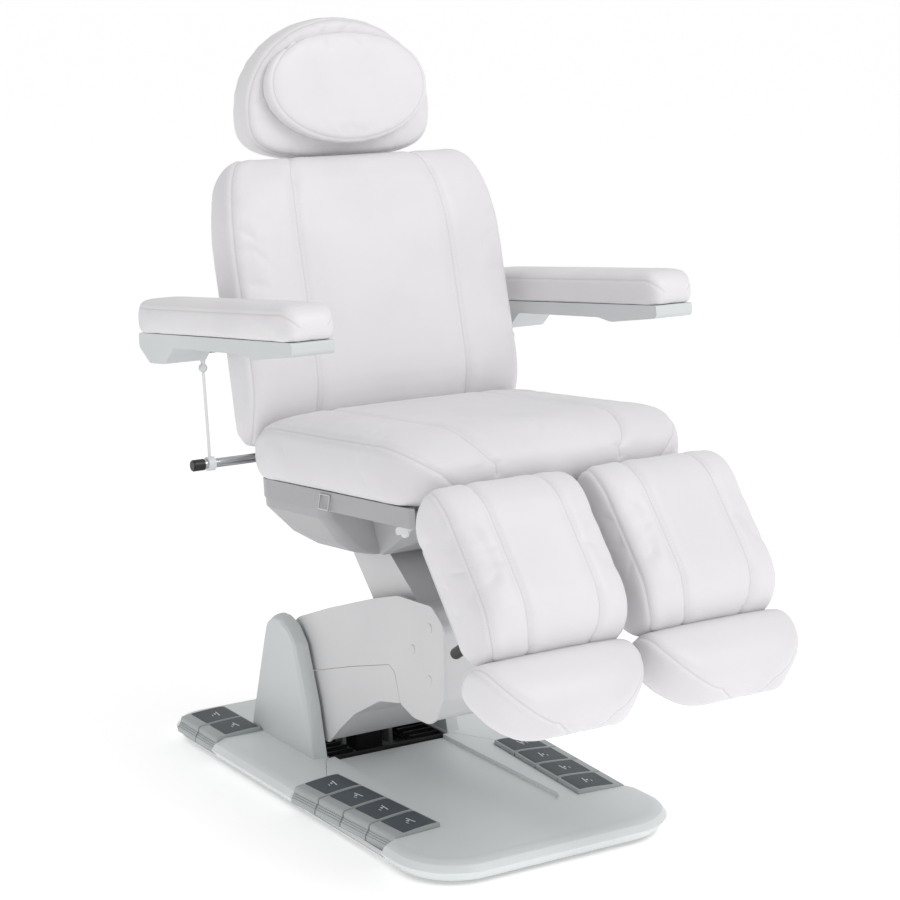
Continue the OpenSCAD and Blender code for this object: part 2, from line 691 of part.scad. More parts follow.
// Seat
rim_h = 36;
rim_half_w = 286;
rim_front = 536;
board_t = 9;
seat_ear_x = 112;
seat_ear_t = 7;
hinge_ear_x = 215;
hinge_ear_t = 8;
hinge_pin_d = 16;
tube_d = 18;
seat_rear_over = 24;
module seat_frame() {
    color(steel) {
        seat_place() translate([-rim_half_w + 22, -rim_front + 20, -board_t])
            cube([2 * (rim_half_w - 22), rim_front, board_t]);
        both_sides() {
            difference() {
                union() {
                    across(tilt_pivot, 2 * 22, seat_ear_x, seat_ear_x + seat_ear_t);
                    plate([tilt_pivot + [-22, 0], tilt_pivot + [22, 0],
                           seat_point([-10, over - board_t]), seat_point([-130, over - board_t])], seat_ear_x, seat_ear_x + seat_ear_t);
                }
                across(tilt_pivot, tilt_pin_d + 2 * fit, seat_ear_x - over, seat_ear_x + seat_ear_t + over);
            }
            difference() {
                union() {
                    plate([seat_point([-60, -board_t - 30]), seat_point([30, -board_t - 34]), link_tube + [4, -20],
                           back_hinge + [14, -6], back_hinge + [-12, 10], link_tube + [-8, 14], link_tube + [-38, -14],
                           seat_point([16, over - board_t]), seat_point([-60, over - board_t])],
                          hinge_ear_x, hinge_ear_x + hinge_ear_t);
                    across(back_hinge, 2 * hinge_pin_d, hinge_ear_x, hinge_ear_x + hinge_ear_t);
                }
                across(link_tube, tube_d, hinge_ear_x - over, hinge_ear_x + hinge_ear_t + over);
            }
            across(back_hinge, hinge_pin_d, hinge_ear_x + over, frame_x + hinge_ear_t + over);
        }
    }
}
tube_half_len = 380;
module cross_tube() {
    color(bright) difference() {
        across(link_tube, tube_d, -tube_half_len, tube_half_len);
        across(link_tube, tube_d - 4, -tube_half_len - over, tube_half_len + over);
    }
}
tube_cap_len = 24;
module tube_caps() {
    color(black) both_sides() difference() {
        union() {
            across(link_tube, tube_d + 4, tube_half_len - tube_cap_len + 6, tube_half_len + 4);
            across(link_tube, tube_d + 1, tube_half_len + 3, tube_half_len + 6);
        }
        across(link_tube, tube_d, tube_half_len - tube_cap_len, tube_half_len);
    }
}
shell_rear = 46;
module seat_slab(half_w, y0, y1, z, r, h = 3)
    translate([0, 0, z]) linear_extrude(h) polygon(rounded(
        [[-half_w, y0], [half_w, y0], [half_w, y1], [-half_w, y1]], [r / 3, r / 3, r, r], 6));
seat_wall = 4;
ledge_w = 40;
// Outer form of the basin round the tilt pivot, and of the rise in front of it; wall draws them in.
module seat_basin(wall) {
    d = shell_depth;
    w = wall;
    hull() {
        seat_slab(rim_half_w - 2 - w, w - 214, shell_rear - 2 - w, -rim_h + 12, 60);
        seat_slab(rim_half_w - 8 - w, w - 210, shell_rear + 10 - w, w / 2 - 0.4 * d, 66);
        seat_slab(rim_half_w - 52 - w, w - 198, shell_rear + 2 - w, w - 0.76 * d, 74);
        seat_slab(rim_half_w - 84 - w, w - 190, shell_rear - 32 - w, w - 0.93 * d, 70);
        seat_slab(rim_half_w - 118 - w, w - 182, shell_rear - 66 - w, w - d, 50);
    }
    if (wall > 0) seat_slab(rim_half_w - 2 - w, w - 214, shell_rear - 2 - w, -rim_h + 12, 60, rim_h);
}
module seat_nose(wall) {
    d = shell_depth;
    w = wall;
    hull() {
        seat_slab(150 - w, -200 - w, -170, w - d, 20);
        seat_slab(150 - w, w - 322, -200, w - 0.72 * d, 30);
        seat_slab(190 - w, w - 440, -200, w - rim_h, 30);
    }
    if (wall > 0) seat_slab(190 - w, w - 440, -200, w - rim_h, 30, rim_h);
}
module seat_shell() {
    d = shell_depth;
    color(white_cover) seat_place() difference() {
        union() {
            difference() {
                union() {
                    seat_basin(0);
                    seat_nose(0);
                }
                seat_basin(seat_wall);
                seat_nose(seat_wall);
            }
            difference() {
                seat_slab(rim_half_w, -rim_front, shell_rear - 3, -rim_h, 60, rim_h - 1);
                seat_slab(rim_half_w - ledge_w, -rim_front + 2.8 * ledge_w, shell_rear - 3 - ledge_w, -rim_h - over, 30,
                          rim_h + 2 * over);
            }
        }
        translate([-rim_half_w + 21, -rim_front + 19, -board_t]) cube([2 * (rim_half_w - 21), rim_front + 60, 60]);
        both_sides() translate([leg_arm_x - 7, -rim_front - 60, -rim_h - over])
            cube([leg_arm_t + 9, 190, rim_h + 2 * over]);
        both_sides() translate([leg_arm_x + leg_arm_t, -rim_front - 60, -rim_h - over])
            cube([20, 86, rim_h + 2 * over]);
        translate([-124, -172, -2 * d]) cube([248, 190, 2 * d - board_t + over]);
        translate([hinge_ear_x - 3, -64, -50]) cube([hinge_ear_t + 6, 260, 60]);
        translate([-hinge_ear_x - hinge_ear_t - 3, -64, -50]) cube([hinge_ear_t + 6, 260, 60]);
    }
}
ring_wire = 3;
ring_y = -238;
module tie_rings() {
    w = 34;
    h = 26;
    color(bright) both_sides() seat_place() translate([rim_half_w + ring_wire / 2 + 0.2, ring_y, -7])
        rotate([0, -12, 0]) {
            for (s = [-1, 1]) translate([0, s * w / 2, -h]) cylinder(d = ring_wire, h = h, $fn = 16);
            for (z = [0, -h]) translate([0, -w / 2 - ring_wire / 2, z]) rotate([-90, 0, 0])
                cylinder(d = ring_wire, h = w + ring_wire, $fn = 16);
        }
}
module seat_cushion() {
    color(leather) seat_place() translate([0, seat_rear_over - seat_len, 0]) seat_pad();
}
module seat_pad()
    pad([seat_w, seat_len, seat_t], [44, 112, 66, 0.78, 105], [48, 110, 34, 0.9, 60], [0.556, 4], 0.008, 7, 6);

// Back
shell_t = 28;
shell_inset = 14;
back_gap = 24;
back_rise = 22;
frame_x = 236;
arm_axle_u = 216;
frame_bar = 22;
frame_t = 24;
module back_frame() {
    hinge = [back_hinge[0], back_hinge[1]];
    color(steel) {
        back_place() difference() {
            translate([0, 0, -frame_t]) {
                for (s = [-1, 1])
                    translate([s * frame_x - (s < 0 ? frame_bar : 0), back_gap + 40, 0]) cube([frame_bar, back_len - 140, frame_t]);
                for (y = [back_gap + 41, 290, back_len - 100])
                    translate([-frame_x - 1, y, 0]) cube([2 * frame_x + 2, frame_bar, frame_t]);
            }
            for (s = [-1, 1]) translate([s * rod_x, back_len - 110, -frame_t / 2])
                rotate([-90, 0, 0]) cylinder(d = rod_d + 2 * fit, h = frame_bar + 20, $fn = 32);
        }
        both_sides() difference() {
            union() {
                bar(hinge, back_point([70, -shell_t + 12]), 24, frame_x, frame_x + hinge_ear_t);
            }
            across(hinge, hinge_pin_d + 2 * fit, frame_x - over, frame_x + hinge_ear_t + over);
        }
        both_sides() across(arm_pivot, 20, frame_x + 10, arm_x + arm_w / 2 - 14);
    }
}
module back_shell() {
    color(white_cover) back_place() difference() {
        translate([0, back_gap, -shell_t]) back_shell_form(0);
        translate([0, back_gap, -shell_t]) back_shell_form(4);
        both_sides() translate([hinge_ear_x - 4, back_gap - over, -shell_t - over])
            cube([frame_x + hinge_ear_t - hinge_ear_x + 8, 60, shell_t + over]);
        both_sides() translate([frame_x + 4, arm_axle_u - 14, -shell_t - over]) cube([80, 28, shell_t + over - 2]);
        for (s = [-1, 1]) translate([s * rod_x, back_len - 60, -frame_t / 2])
            rotate([-90, 0, 0]) cylinder(d = rod_d + 4, h = 120, $fn = 32);
    }
}
// A shallow tray with a rounded rear edge, open to the front.
module back_shell_form(wall) {
    w = back_w / 2 - shell_inset - wall;
    l = back_len - 30 - wall;
    hull() {
        translate([0, wall, shell_t - 1 + (wall > 0 ? over : 0)]) linear_extrude(1) polygon(rounded(
            [[-w, 0], [w, 0], [w - 10, l], [10 - w, l]], [30, 30, 70, 70], 6));
        translate([0, wall, 10 + wall / 2]) linear_extrude(1) polygon(rounded(
            [[-w + 2, 2], [w - 2, 2], [w - 12, l - 4], [12 - w, l - 4]], [30, 30, 70, 70], 6));
        translate([0, wall, wall]) linear_extrude(1) polygon(rounded(
            [[-w + 16, 14], [w - 16, 14], [w - 24, l - 20], [24 - w, l - 20]], [30, 30, 60, 60], 6));
    }
}
module back_cushion() {
    color(leather) back_place() translate([0, back_rise, 0])
        pad([back_w, back_len, back_t], [8, 130, 14, 0.93, 60], [58, 170, 50, 0.8, 190], [0.55, 4], 0.006, 7, 4);
}

// Headrest: two rods slide in the back frame, and the head plate tilts on them.
head_lean = 3.5;
rod_d = 14;
rod_x = 60;
rod_len = 215;
head_base = back_point([back_rise + back_len + 5, 34]);
function head_point(p) = head_base + turned([-p[1], p[0]], -head_lean);
rod_top = back_point([back_rise + back_len - 8, -frame_t / 2]);
rod_knee = head_point([-10, -95]);
head_hinge = head_point([33, -102]);
head_pin_d = 12;
module head_place() translate([0, head_base[0], head_base[1]]) rotate([90 - head_lean, 0, 0]) children();
module headrest_rods() {
    color(bright) {
        for (s = [-1, 1]) back_place()
            translate([s * rod_x, back_rise + back_len - 8 - rod_len, -frame_t / 2])
                rotate([-90, 0, 0]) cylinder(d = rod_d, h = rod_len, $fn = 32);
        both_sides() {
            bar(rod_top, rod_knee, rod_d, rod_x - 5, rod_x + 5);
            bar(rod_knee, head_hinge, rod_d, rod_x - 5, rod_x + 5);
        }
        across(head_hinge, head_pin_d, -rod_x - 24, rod_x + 24);
    }
}
// Flat D with its widest line at the share v of the height; p rounds the lower corners.
function d_outline(w, h, v, p, n = 16) = concat(
    [for (i = [0:n]) let (a = 180 * i / n) [w * cos(a), h * (v + (1 - v) * sin(a))]],
    [for (i = [1:n - 1]) let (a = 180 + 180 * i / n)
        [w * sign(cos(a)) * pow(abs(cos(a)), 2 / p), h * v * (1 - pow(-sin(a), 2 / p))]]);
head_side = 72;
head_core = [0, head_h * 0.45];
head_shell_levels = [[-86, 62], [-85, 34], [-82, 16], [-78, 7], [-head_side, 3]];
head_cushion_levels = [[-head_side, 6], [-68, 1.5], [-56, 0], [-14, 0], [-6, 1.5], [-2, 5], [0, 9], [4, 24], [7, 50],
                       [9, 80]];
pillow_levels = [[-24, 3], [-10, 0], [2, 0], [7, 2], [10, 6], [12, 10], [16, 30], [18, 60]];
pillow_half_w = 178;
pillow_half_h = 112;
pillow_lean = 8;
module headrest_shell() {
    color(white_cover) difference() {
        union() {
            head_place() stack(d_outline(head_w / 2 - 3, head_h - 3, 0.35, 3.4), head_shell_levels, head_core);
            both_sides() bar(head_hinge, head_point([60, -86]), 24, rod_x + 8, rod_x + 20);
        }
        across(head_hinge, head_pin_d + 2 * fit, -rod_x - 30, rod_x + 30);
    }
}
module headrest_cushion() {
    color(leather) head_place() stack(d_outline(head_w / 2, head_h, 0.345, 3.4), head_cushion_levels, head_core);
}
module headrest_pillow() {
    color(leather) head_place() difference() {
        translate([0, 138, 22]) rotate([-pillow_lean, 0, 0]) stack(
            [for (i = [0:35]) let (a = 10 * i) [pillow_half_w * cos(a), pillow_half_h * sin(a)]], pillow_levels);
        translate([-head_w, -head_h, -head_t]) cube([2 * head_w, 3 * head_h, head_t + 9.3]);
    }
}

// Armrests
arm_plate_t = 28;
arm_crease = 36;
arm_front = 530;
lug_d = 40;
module armrest_plate(side) {
    x0 = arm_x - arm_w / 2 + 4;
    outline = rounded([[-arm_front + 6, arm_crease], [-arm_front + 4, arm_crease - arm_plate_t + 4],
                       [-arm_front + 150, arm_crease - arm_plate_t - 6], [-arm_front + 190, arm_crease - arm_plate_t + 2],
                       [-70, arm_crease - arm_plate_t + 4], [-46, arm_crease - arm_plate_t - 16], [-30, -lug_d / 2], [34, -lug_d / 2],
                       [76, arm_crease - arm_plate_t + 2], [74, arm_crease]],
                      [4, 10, 60, 60, 20, 14, 16, 16, 10, 4], 4);
    color(grey_cover) mirror([side < 0 ? 1 : 0, 0, 0]) {
        difference() {
            arm_place() plate(outline, x0, x0 + arm_w - 8);
            across(arm_pivot, 20 + 2 * fit, x0 - over, arm_x + arm_w / 2 - 13);
        }
        translate([ball_x, arm_ball[0], arm_ball[1]]) {
            sphere(d = ball_d, $fn = 32);
            cylinder(d1 = 7, d2 = 14, h = 40, $fn = 32);
        }
    }
}
ball_x = 348;
ball_d = 17;
rod_link_d = 6;
module armrest_link(side) {
    color(white_cover) mirror([side < 0 ? 1 : 0, 0, 0]) difference() {
        union() {
            translate([ball_x, link_tube[0], link_tube[1]]) rotate([-arm_link_lean, 0, 0])
                cylinder(d = rod_link_d, h = arm_link_len - ball_d / 2 - soft_gap, $fn = 24);
            across(link_tube, tube_d + 9, ball_x - 7, ball_x + 7);
        }
        across(link_tube, tube_d + 2 * fit, ball_x - 8, ball_x + 8);
    }
}
module armrest_cushion(side) {
    color(leather) mirror([side < 0 ? 1 : 0, 0, 0]) arm_place()
        translate([arm_x, -arm_front, arm_crease + soft_gap])
            pad([arm_w, arm_len, arm_t], [24, 34, 20, 0.6, 36], [24, 30, 20, 0.6, 34], [0, 0], 0.01, 5, 4);
}

// Leg rests
leg_shell_t = 30;
leg_shell_top = 52;
ratchet = seat_ref + [-440, -14];
leg_arm_inset = 52;
leg_arm_x = leg_x + leg_w / 2 - leg_arm_inset;
leg_arm_t = 12;
leg_pin_d = 10;
module leg_hinge_arms() {
    both_sides() {
        color(white_cover) {
            bar(ratchet, leg_hinge + [10, -14], 13, leg_arm_x, leg_arm_x + leg_arm_t);
            bar(leg_hinge + [10, -14], leg_hinge, 13, leg_arm_x, leg_arm_x + leg_arm_t);
            across(leg_hinge, leg_pin_d - 4, leg_arm_x + over, leg_arm_x + leg_arm_t + 14);
        }
        color(bright) {
            across(ratchet, 26, leg_arm_x - 5, leg_arm_x);
            plate([ratchet + [-13, 0], ratchet + [13, 0], seat_point([-420, -board_t]), seat_point([-462, -board_t])], leg_arm_x - 5, leg_arm_x);
        }
    }
}
module leg_side(side) translate([side * leg_x, 0, 0]) children();
module leg_shell(side) {
    color(white_cover) {
        difference() {
            leg_side(side) leg_place() hull() {
                translate([0, 0, -8]) linear_extrude(8) polygon(rounded(
                    [[-leg_w / 2 + 8, 26 - leg_len], [leg_w / 2 - 8, 26 - leg_len], [leg_w / 2 - 8, -leg_shell_top], [8 - leg_w / 2, -leg_shell_top]],
                    [30, 30, 20, 20], 5));
                translate([0, 0, -leg_shell_t]) linear_extrude(2) polygon(rounded(
                    [[-leg_w / 2 + 34, 50 - leg_len], [leg_w / 2 - 34, 50 - leg_len], [leg_w / 2 - 34, -leg_shell_top - 14], [34 - leg_w / 2, -leg_shell_top - 14]],
                    [30, 30, 20, 20], 5));
            }
            leg_side(side) leg_place() translate([-rail_w / 2 - 2 * fit, -leg_len, -leg_shell_t + 3 - 2 * fit])
                cube([rail_w + 4 * fit, leg_len - 36, rail_t + 4 * fit]);
        }
        hx = side * (leg_arm_x + leg_arm_t + 8);
        difference() {
            union() {
                bar(leg_hinge, leg_point([24, -3]), 12, hx - 6, hx + 6);
                bar(leg_point([24, -3]), leg_point([leg_shell_top + 12, -9]), 12, hx - 6, hx + 6);
            }
            across(leg_hinge, leg_pin_d - 4 + 2 * fit, hx - 8, hx + 8);
        }
    }
}
module leg_cushion(side) {
    color(leather) leg_side(side) leg_place() translate([0, -leg_len, 0])
        pad([leg_w, leg_len, leg_t], [52, 80, 52, 0.86, 46], [66, 72, 62, 0.9, 44], [0.52, 3.5], 0.008, 6, 5);
}
rail_w = 60;
rail_t = 12;
foot_tilt = 20;
foot_ref = leg_point([leg_len + 13.3, -22]);
foot_out = 7;
function foot_point(p) = foot_ref + turned([-p[0], p[1]], leg_slope - foot_tilt);
foot_hinge = foot_point([14, -24]);
module foot_place() translate([0, foot_ref[0], foot_ref[1]]) rotate([leg_slope - foot_tilt, 0, 0]) children();
module foot_rail(side) {
    p = leg_point([leg_len - 2, -leg_shell_t + 3 + rail_t / 2]);
    color(steel) {
        leg_side(side) leg_place() translate([-rail_w / 2, -leg_len, -leg_shell_t + 3])
            cube([rail_w, leg_len - 60, rail_t]);
        for (s = [-1, 1]) bar(p, foot_hinge, 13, side * leg_x + s * 24 - 4, side * leg_x + s * 24 + 4);
        across(foot_hinge, leg_pin_d, side * leg_x - 43, side * leg_x + 43);
    }
}
module foot_shell(side) {
    plan = d_outline(leg_w / 2 - 20, foot_len - 56, 0.12, 4);
    color(white_cover) difference() {
        union() {
            translate([side * (leg_x + foot_out), 0, 0]) foot_place() mirror([0, 1, 0]) translate([0, 8, 0])
                stack(plan, [[-12, 28], [-9, 12], [-4, 5], [0, 3]], [0, foot_len * 0.25]);
            for (s = [-1, 1])
                bar(foot_hinge, foot_point([36, -9]), 16, side * leg_x + s * 36 - 4, side * leg_x + s * 36 + 4);
        }
        across(foot_hinge, leg_pin_d + 2 * fit, side * leg_x - 44, side * leg_x + 44);
    }
}
module foot_cushion(side) {
    color(leather) translate([side * (leg_x + foot_out), 0, 0]) foot_place() translate([0, -foot_len, 0])
        pad([leg_w + 28, foot_len, foot_t], [40, 74, 44, 0.28, 122], [20, 60, 18, 0.9, 30], [0, 0], 0, 7, 2);
}
lever_root = leg_point([leg_len - 70, -leg_shell_t - 5]);
module foot_lever(side) {
    x = side * leg_x + side * 90;
    color(black) {
        bar(lever_root, lever_root + [12, -8], 10, x - 12, x + 12);
        translate([x, lever_root[0], lever_root[1]]) rotate([-atan2(40, -26), 0, 0]) cylinder(d = 8, h = 30, $fn = 24);
        translate([x, lever_root[0], lever_root[1]]) rotate([-atan2(40, -26), 0, 0]) translate([0, 0, 20]) {
            cylinder(d = 20, h = 34, $fn = 32);
            translate([0, 0, 34]) sphere(d = 20, $fn = 32);
        }
    }
}

base_plate();
front_base_cover();
rear_base_cover();
tower_covers();
lift_bracket();
arm_well_grille();
for (i = [1:4]) {
    pedal_row(left, true) pedal(4, i - 1);
    pedal_row(right, true) pedal(4, i - 1);
}
for (i = [1:2]) {
    pedal_row(left, false) pedal(2, i - 1);
    pedal_row(right, false) pedal(2, i - 1);
}
upper_link();
lower_link();
arm_side_covers();
arm_top_cover();
arm_lower_cover();
arm_front_cover();
lift_drive();
neck_frame();
neck_cover();
seat_frame();
seat_shell();
seat_cushion();
cross_tube();
tube_caps();
tie_rings();
leg_hinge_arms();
back_frame();
back_shell();
back_cushion();
headrest_rods();
headrest_shell();
headrest_cushion();
headrest_pillow();
armrest_plate(left);  // left_armrest_plate
armrest_cushion(left);  // left_armrest_cushion
armrest_link(left);  // left_armrest_link
armrest_plate(right);  // right_armrest_plate
armrest_cushion(right);  // right_armrest_cushion
armrest_link(right);  // right_armrest_link
leg_shell(left);  // left_leg_shell
leg_cushion(left);  // left_leg_cushion
foot_rail(left);  // left_foot_rail
foot_shell(left);  // left_foot_shell
foot_cushion(left);  // left_foot_cushion
foot_lever(left);  // left_foot_lever
leg_shell(right);  // right_leg_shell
leg_cushion(right);  // right_leg_cushion
foot_rail(right);  // right_foot_rail
foot_shell(right);  // right_foot_shell
foot_cushion(right);  // right_foot_cushion
foot_lever(right);  // right_foot_lever
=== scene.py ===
"""Podiatry chair: upholstery, mouldings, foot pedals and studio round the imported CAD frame."""

import json
import logging
import math
from dataclasses import dataclass
from enum import Enum
from typing import Callable, Optional, Sequence, Union

import bmesh
import bpy
import numpy as np
from mathutils import Matrix, Vector
from mathutils.bvhtree import BVHTree

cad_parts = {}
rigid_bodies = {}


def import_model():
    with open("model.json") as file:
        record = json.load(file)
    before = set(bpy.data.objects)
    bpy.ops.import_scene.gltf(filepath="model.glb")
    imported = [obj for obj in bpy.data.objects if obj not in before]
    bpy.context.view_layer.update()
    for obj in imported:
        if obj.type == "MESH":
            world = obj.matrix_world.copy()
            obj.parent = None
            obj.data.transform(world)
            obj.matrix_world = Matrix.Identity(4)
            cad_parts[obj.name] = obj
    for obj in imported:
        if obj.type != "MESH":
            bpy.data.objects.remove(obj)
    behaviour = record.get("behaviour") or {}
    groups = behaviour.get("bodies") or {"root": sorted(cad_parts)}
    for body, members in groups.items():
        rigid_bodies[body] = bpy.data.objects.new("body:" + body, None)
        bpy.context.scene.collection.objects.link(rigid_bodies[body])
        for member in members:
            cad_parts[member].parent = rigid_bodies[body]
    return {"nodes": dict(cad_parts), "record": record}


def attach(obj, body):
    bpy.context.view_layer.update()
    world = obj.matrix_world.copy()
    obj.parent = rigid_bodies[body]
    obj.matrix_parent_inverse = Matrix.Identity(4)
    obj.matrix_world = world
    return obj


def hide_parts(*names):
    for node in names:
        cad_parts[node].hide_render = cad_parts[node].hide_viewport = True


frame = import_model()

log = logging.getLogger("podiatry_chair")

NOISE, RANGE, MATH = "ShaderNodeTexNoise", "ShaderNodeMapRange", "ShaderNodeMath"
MIX, BUMP = "ShaderNodeMix", "ShaderNodeBump"
SMOOTH = {"interpolation_type": "SMOOTHSTEP"}
COLOURS = {"data_type": "RGBA"}

MM = 0.001
MERGE_MM = 0.02
FAR_MM = 60.0
PROBE_MM = 0.5
LEAST_SLOPE = 0.25

BMesh = bmesh.types.BMesh
Node = bpy.types.Node
Object = bpy.types.Object
Socket = bpy.types.NodeSocket
Tree = bpy.types.NodeTree
Array = np.ndarray
Material = bpy.types.Material
Mesh = bpy.types.Mesh
Level = Callable[[Array], Array]
Colour = tuple[float, float, float, float]
Inputs = dict[Union[int, str], object]
Point = tuple[float, float, float]
Span = tuple[float, float]


class Side(Enum):
    """The sitter's side of the chair, as the sign of X."""

    LEFT = 1
    RIGHT = -1

    @property
    def word(self) -> str:
        """Word that the CAD nodes of this side start with."""
        return self.name.lower()


# ---- colours and shader helpers


def linear(hex_colour: str, alpha: float = 1.0) -> Colour:
    """Turns an sRGB hex colour into Blender's linear colour.

    Args:
        hex_colour: Colour as "#rrggbb".
        alpha: Opacity.

    Returns:
        Linear red, green, blue and alpha.
    """
    values = [int(hex_colour[i : i + 2], 16) / 255 for i in (1, 3, 5)]
    out = [v / 12.92 if v <= 0.04045 else ((v + 0.055) / 1.055) ** 2.4 for v in values]
    return out[0], out[1], out[2], alpha


def set_inputs(tree: Tree, node: Node, inputs: Inputs) -> None:
    """Sets or links a node's inputs.

    Args:
        tree: Node tree of the node.
        node: Node to change.
        inputs: Input name or index to a value or to the output socket that feeds it.
    """
    for key, value in inputs.items():
        socket = node.inputs[key]
        if isinstance(value, Socket):
            tree.links.new(value, socket)
        else:
            socket.default_value = value


def add_node(
    tree: Tree, kind: str, inputs: Inputs, output: Union[int, str] = 0, **settings: object
) -> Socket:
    """Adds a node with its settings and links.

    Args:
        tree: Node tree to add to.
        kind: Node type name.
        inputs: Input name or index to a value or to the output socket that feeds it.
        output: Name or index of the output that is used.
        **settings: Attributes of the node.

    Returns:
        The output socket.
    """
    node = tree.nodes.new(kind)
    for name, value in settings.items():
        setattr(node, name, value)
    set_inputs(tree, node, inputs)
    return node.outputs[output]


def start_material(name: str) -> tuple[Material, Tree, Node]:
    """Makes a material that holds one Principled shader.

    Args:
        name: Name of the material.

    Returns:
        The material, its tree and its shader node.
    """
    material = bpy.data.materials.new(name)
    material.use_nodes = True
    tree = material.node_tree
    return material, tree, tree.nodes["Principled BSDF"]


def pattern(place: Socket, scale: float, detail: float) -> Inputs:
    """Inputs of a noise at a place in metres: patches to the metre and octaves of detail."""
    return {"Vector": place, "Scale": scale, "Detail": detail}


def within(value: Socket, span: Span) -> Inputs:
    """Inputs of a range that goes from 0 to 1 while the value crosses the span."""
    return {"Value": value, "From Min": span[0], "From Max": span[1]}


def around(value: Socket, mean: float, swing: Span) -> Inputs:
    """Inputs of a range round a mean, with a swing below it and one above it."""
    return {"Value": value, "To Min": mean - swing[0], "To Max": mean + swing[1]}


def relief(height: Socket, strength: float, depth_mm: float) -> Inputs:
    """Inputs of a bump: its height, the share that shows and the depth of a height of 1."""
    return {"Height": height, "Strength": strength, "Distance": depth_mm * MM}


# ---- finishes


@dataclass(frozen=True)
class ArtificialLeather:
    """Soft PU-coated upholstery fabric: matt white, fine pebbled grain, twin-needle stitching.

    The seam attributes of a cushion, in millimetres, drive its seams and stitches; the seams are
    darkened towards a painted crease shade. The grain and the stitches are drawn about twice as
    coarse as real ones, so that they show.
    """

    name: str = "white artificial leather"
    colour: str = "#dfdddf"
    shade: str = "#dad8db"
    # Painted shade: the seam creases are darkened towards this colour.
    seam_colour: str = "#c0bcbe"
    thread: str = "#e6e4e5"
    patch_scale: float = 5.0
    patch_detail: float = 3.0
    patch_span: Span = (0.35, 0.7)
    seam_mix: float = 0.5
    thread_mix: float = 0.6
    roughness: float = 0.46
    swing: Span = (0.05, 0.06)
    ior: float = 1.48
    sheen: float = 0.12
    sheen_roughness: float = 0.5
    grain_mm: float = 2.4
    grain_edge: float = 0.22
    grain_depth: float = 0.10
    bump_mm: float = 0.6
    stitch_height: float = 3.0
    crease_depth: float = 3.0
    crease_mm: Span = (1.8, 0.2)
    stitch_mm: float = 7.0
    stitch_off_mm: float = 5.0
    stitch_half_mm: Span = (1.3, 0.5)
    stitch_gap: Span = (0.35, 0.6)

    def build(self) -> Material:
        """Makes the leather's material."""
        material, tree, shader = start_material(self.name)
        place = add_node(tree, "ShaderNodeTexCoord", {}, "Object")
        cloud = add_node(tree, NOISE, pattern(place, self.patch_scale, self.patch_detail))
        patches = add_node(tree, RANGE, within(cloud, self.patch_span), **SMOOTH)
        shades = {0: patches, 6: linear(self.colour), 7: linear(self.shade)}
        colour = add_node(tree, MIX, shades, 2, **COLOURS)
        seam, seam_stitches = self.sewing(tree, "seam")
        channel, channel_stitches = self.sewing(tree, "channel")
        crease = add_node(tree, MATH, {0: seam, 1: channel}, operation="MAXIMUM")
        sewn = {0: seam_stitches, 1: channel_stitches}
        stitches = add_node(tree, MATH, sewn, operation="MAXIMUM")
        # Painted shade darkens the creases; the stitches take the thread's own colour.
        marks = (
            (crease, self.seam_mix, self.seam_colour), (stitches, self.thread_mix, self.thread)
        )
        for mark, share, tint in marks:
            shown = add_node(tree, MATH, {0: mark, 1: share}, operation="MULTIPLY")
            colour = add_node(tree, MIX, {0: shown, 6: colour, 7: linear(tint)}, 2, **COLOURS)
        cells = {"Vector": place, "Scale": 1 / (self.grain_mm * MM)}
        pebbles = add_node(
            tree, "ShaderNodeTexVoronoi", cells, "Distance", feature="DISTANCE_TO_EDGE"
        )
        grain = add_node(tree, RANGE, within(pebbles, (0.0, self.grain_edge)), **SMOOTH)
        raised = {0: stitches, 1: self.stitch_height, 2: grain}
        height = add_node(tree, MATH, raised, operation="MULTIPLY_ADD")
        sunk = add_node(tree, MATH, {0: crease, 1: self.crease_depth}, operation="MULTIPLY")
        height = add_node(tree, MATH, {0: height, 1: sunk}, operation="SUBTRACT")
        looks = {
            "Base Color": colour,
            "Roughness": add_node(tree, RANGE, around(cloud, self.roughness, self.swing)),
            "IOR": self.ior,
            "Sheen Weight": self.sheen,
            "Sheen Roughness": self.sheen_roughness,
            "Normal": add_node(tree, BUMP, relief(height, self.grain_depth, self.bump_mm)),
        }
        set_inputs(tree, shader, looks)
        return material

    def sewing(self, tree: Tree, line: str) -> tuple[Socket, Socket]:
        """Draws a sewn line and a row of stitches at each side of it.

        Args:
            tree: Node tree to add to.
            line: Kind of line, "seam" or "channel", as in the names of a pad's attributes.

        Returns:
            Sockets from 0 to 1 for the crease and for the stitches.
        """
        distance, run = (
            add_node(tree, "ShaderNodeAttribute", {}, "Fac", attribute_name=name)
            for name in (f"{line}_mm", f"{line}_run_mm")
        )
        away = add_node(tree, MATH, {0: distance}, operation="ABSOLUTE")
        crease = add_node(tree, RANGE, within(away, self.crease_mm), **SMOOTH)
        aside = add_node(tree, MATH, {0: away, 1: self.stitch_off_mm}, operation="SUBTRACT")
        aside = add_node(tree, MATH, {0: aside}, operation="ABSOLUTE")
        row = add_node(tree, RANGE, within(aside, self.stitch_half_mm), **SMOOTH)
        beats = {0: run, 1: math.pi / self.stitch_mm}
        wave = add_node(tree, MATH, beats, operation="MULTIPLY")
        wave = add_node(tree, MATH, {0: wave}, operation="SINE")
        wave = add_node(tree, MATH, {0: wave}, operation="ABSOLUTE")
        beat = add_node(tree, RANGE, within(wave, self.stitch_gap), **SMOOTH)
        return crease, add_node(tree, MATH, {0: row, 1: beat}, operation="MULTIPLY")


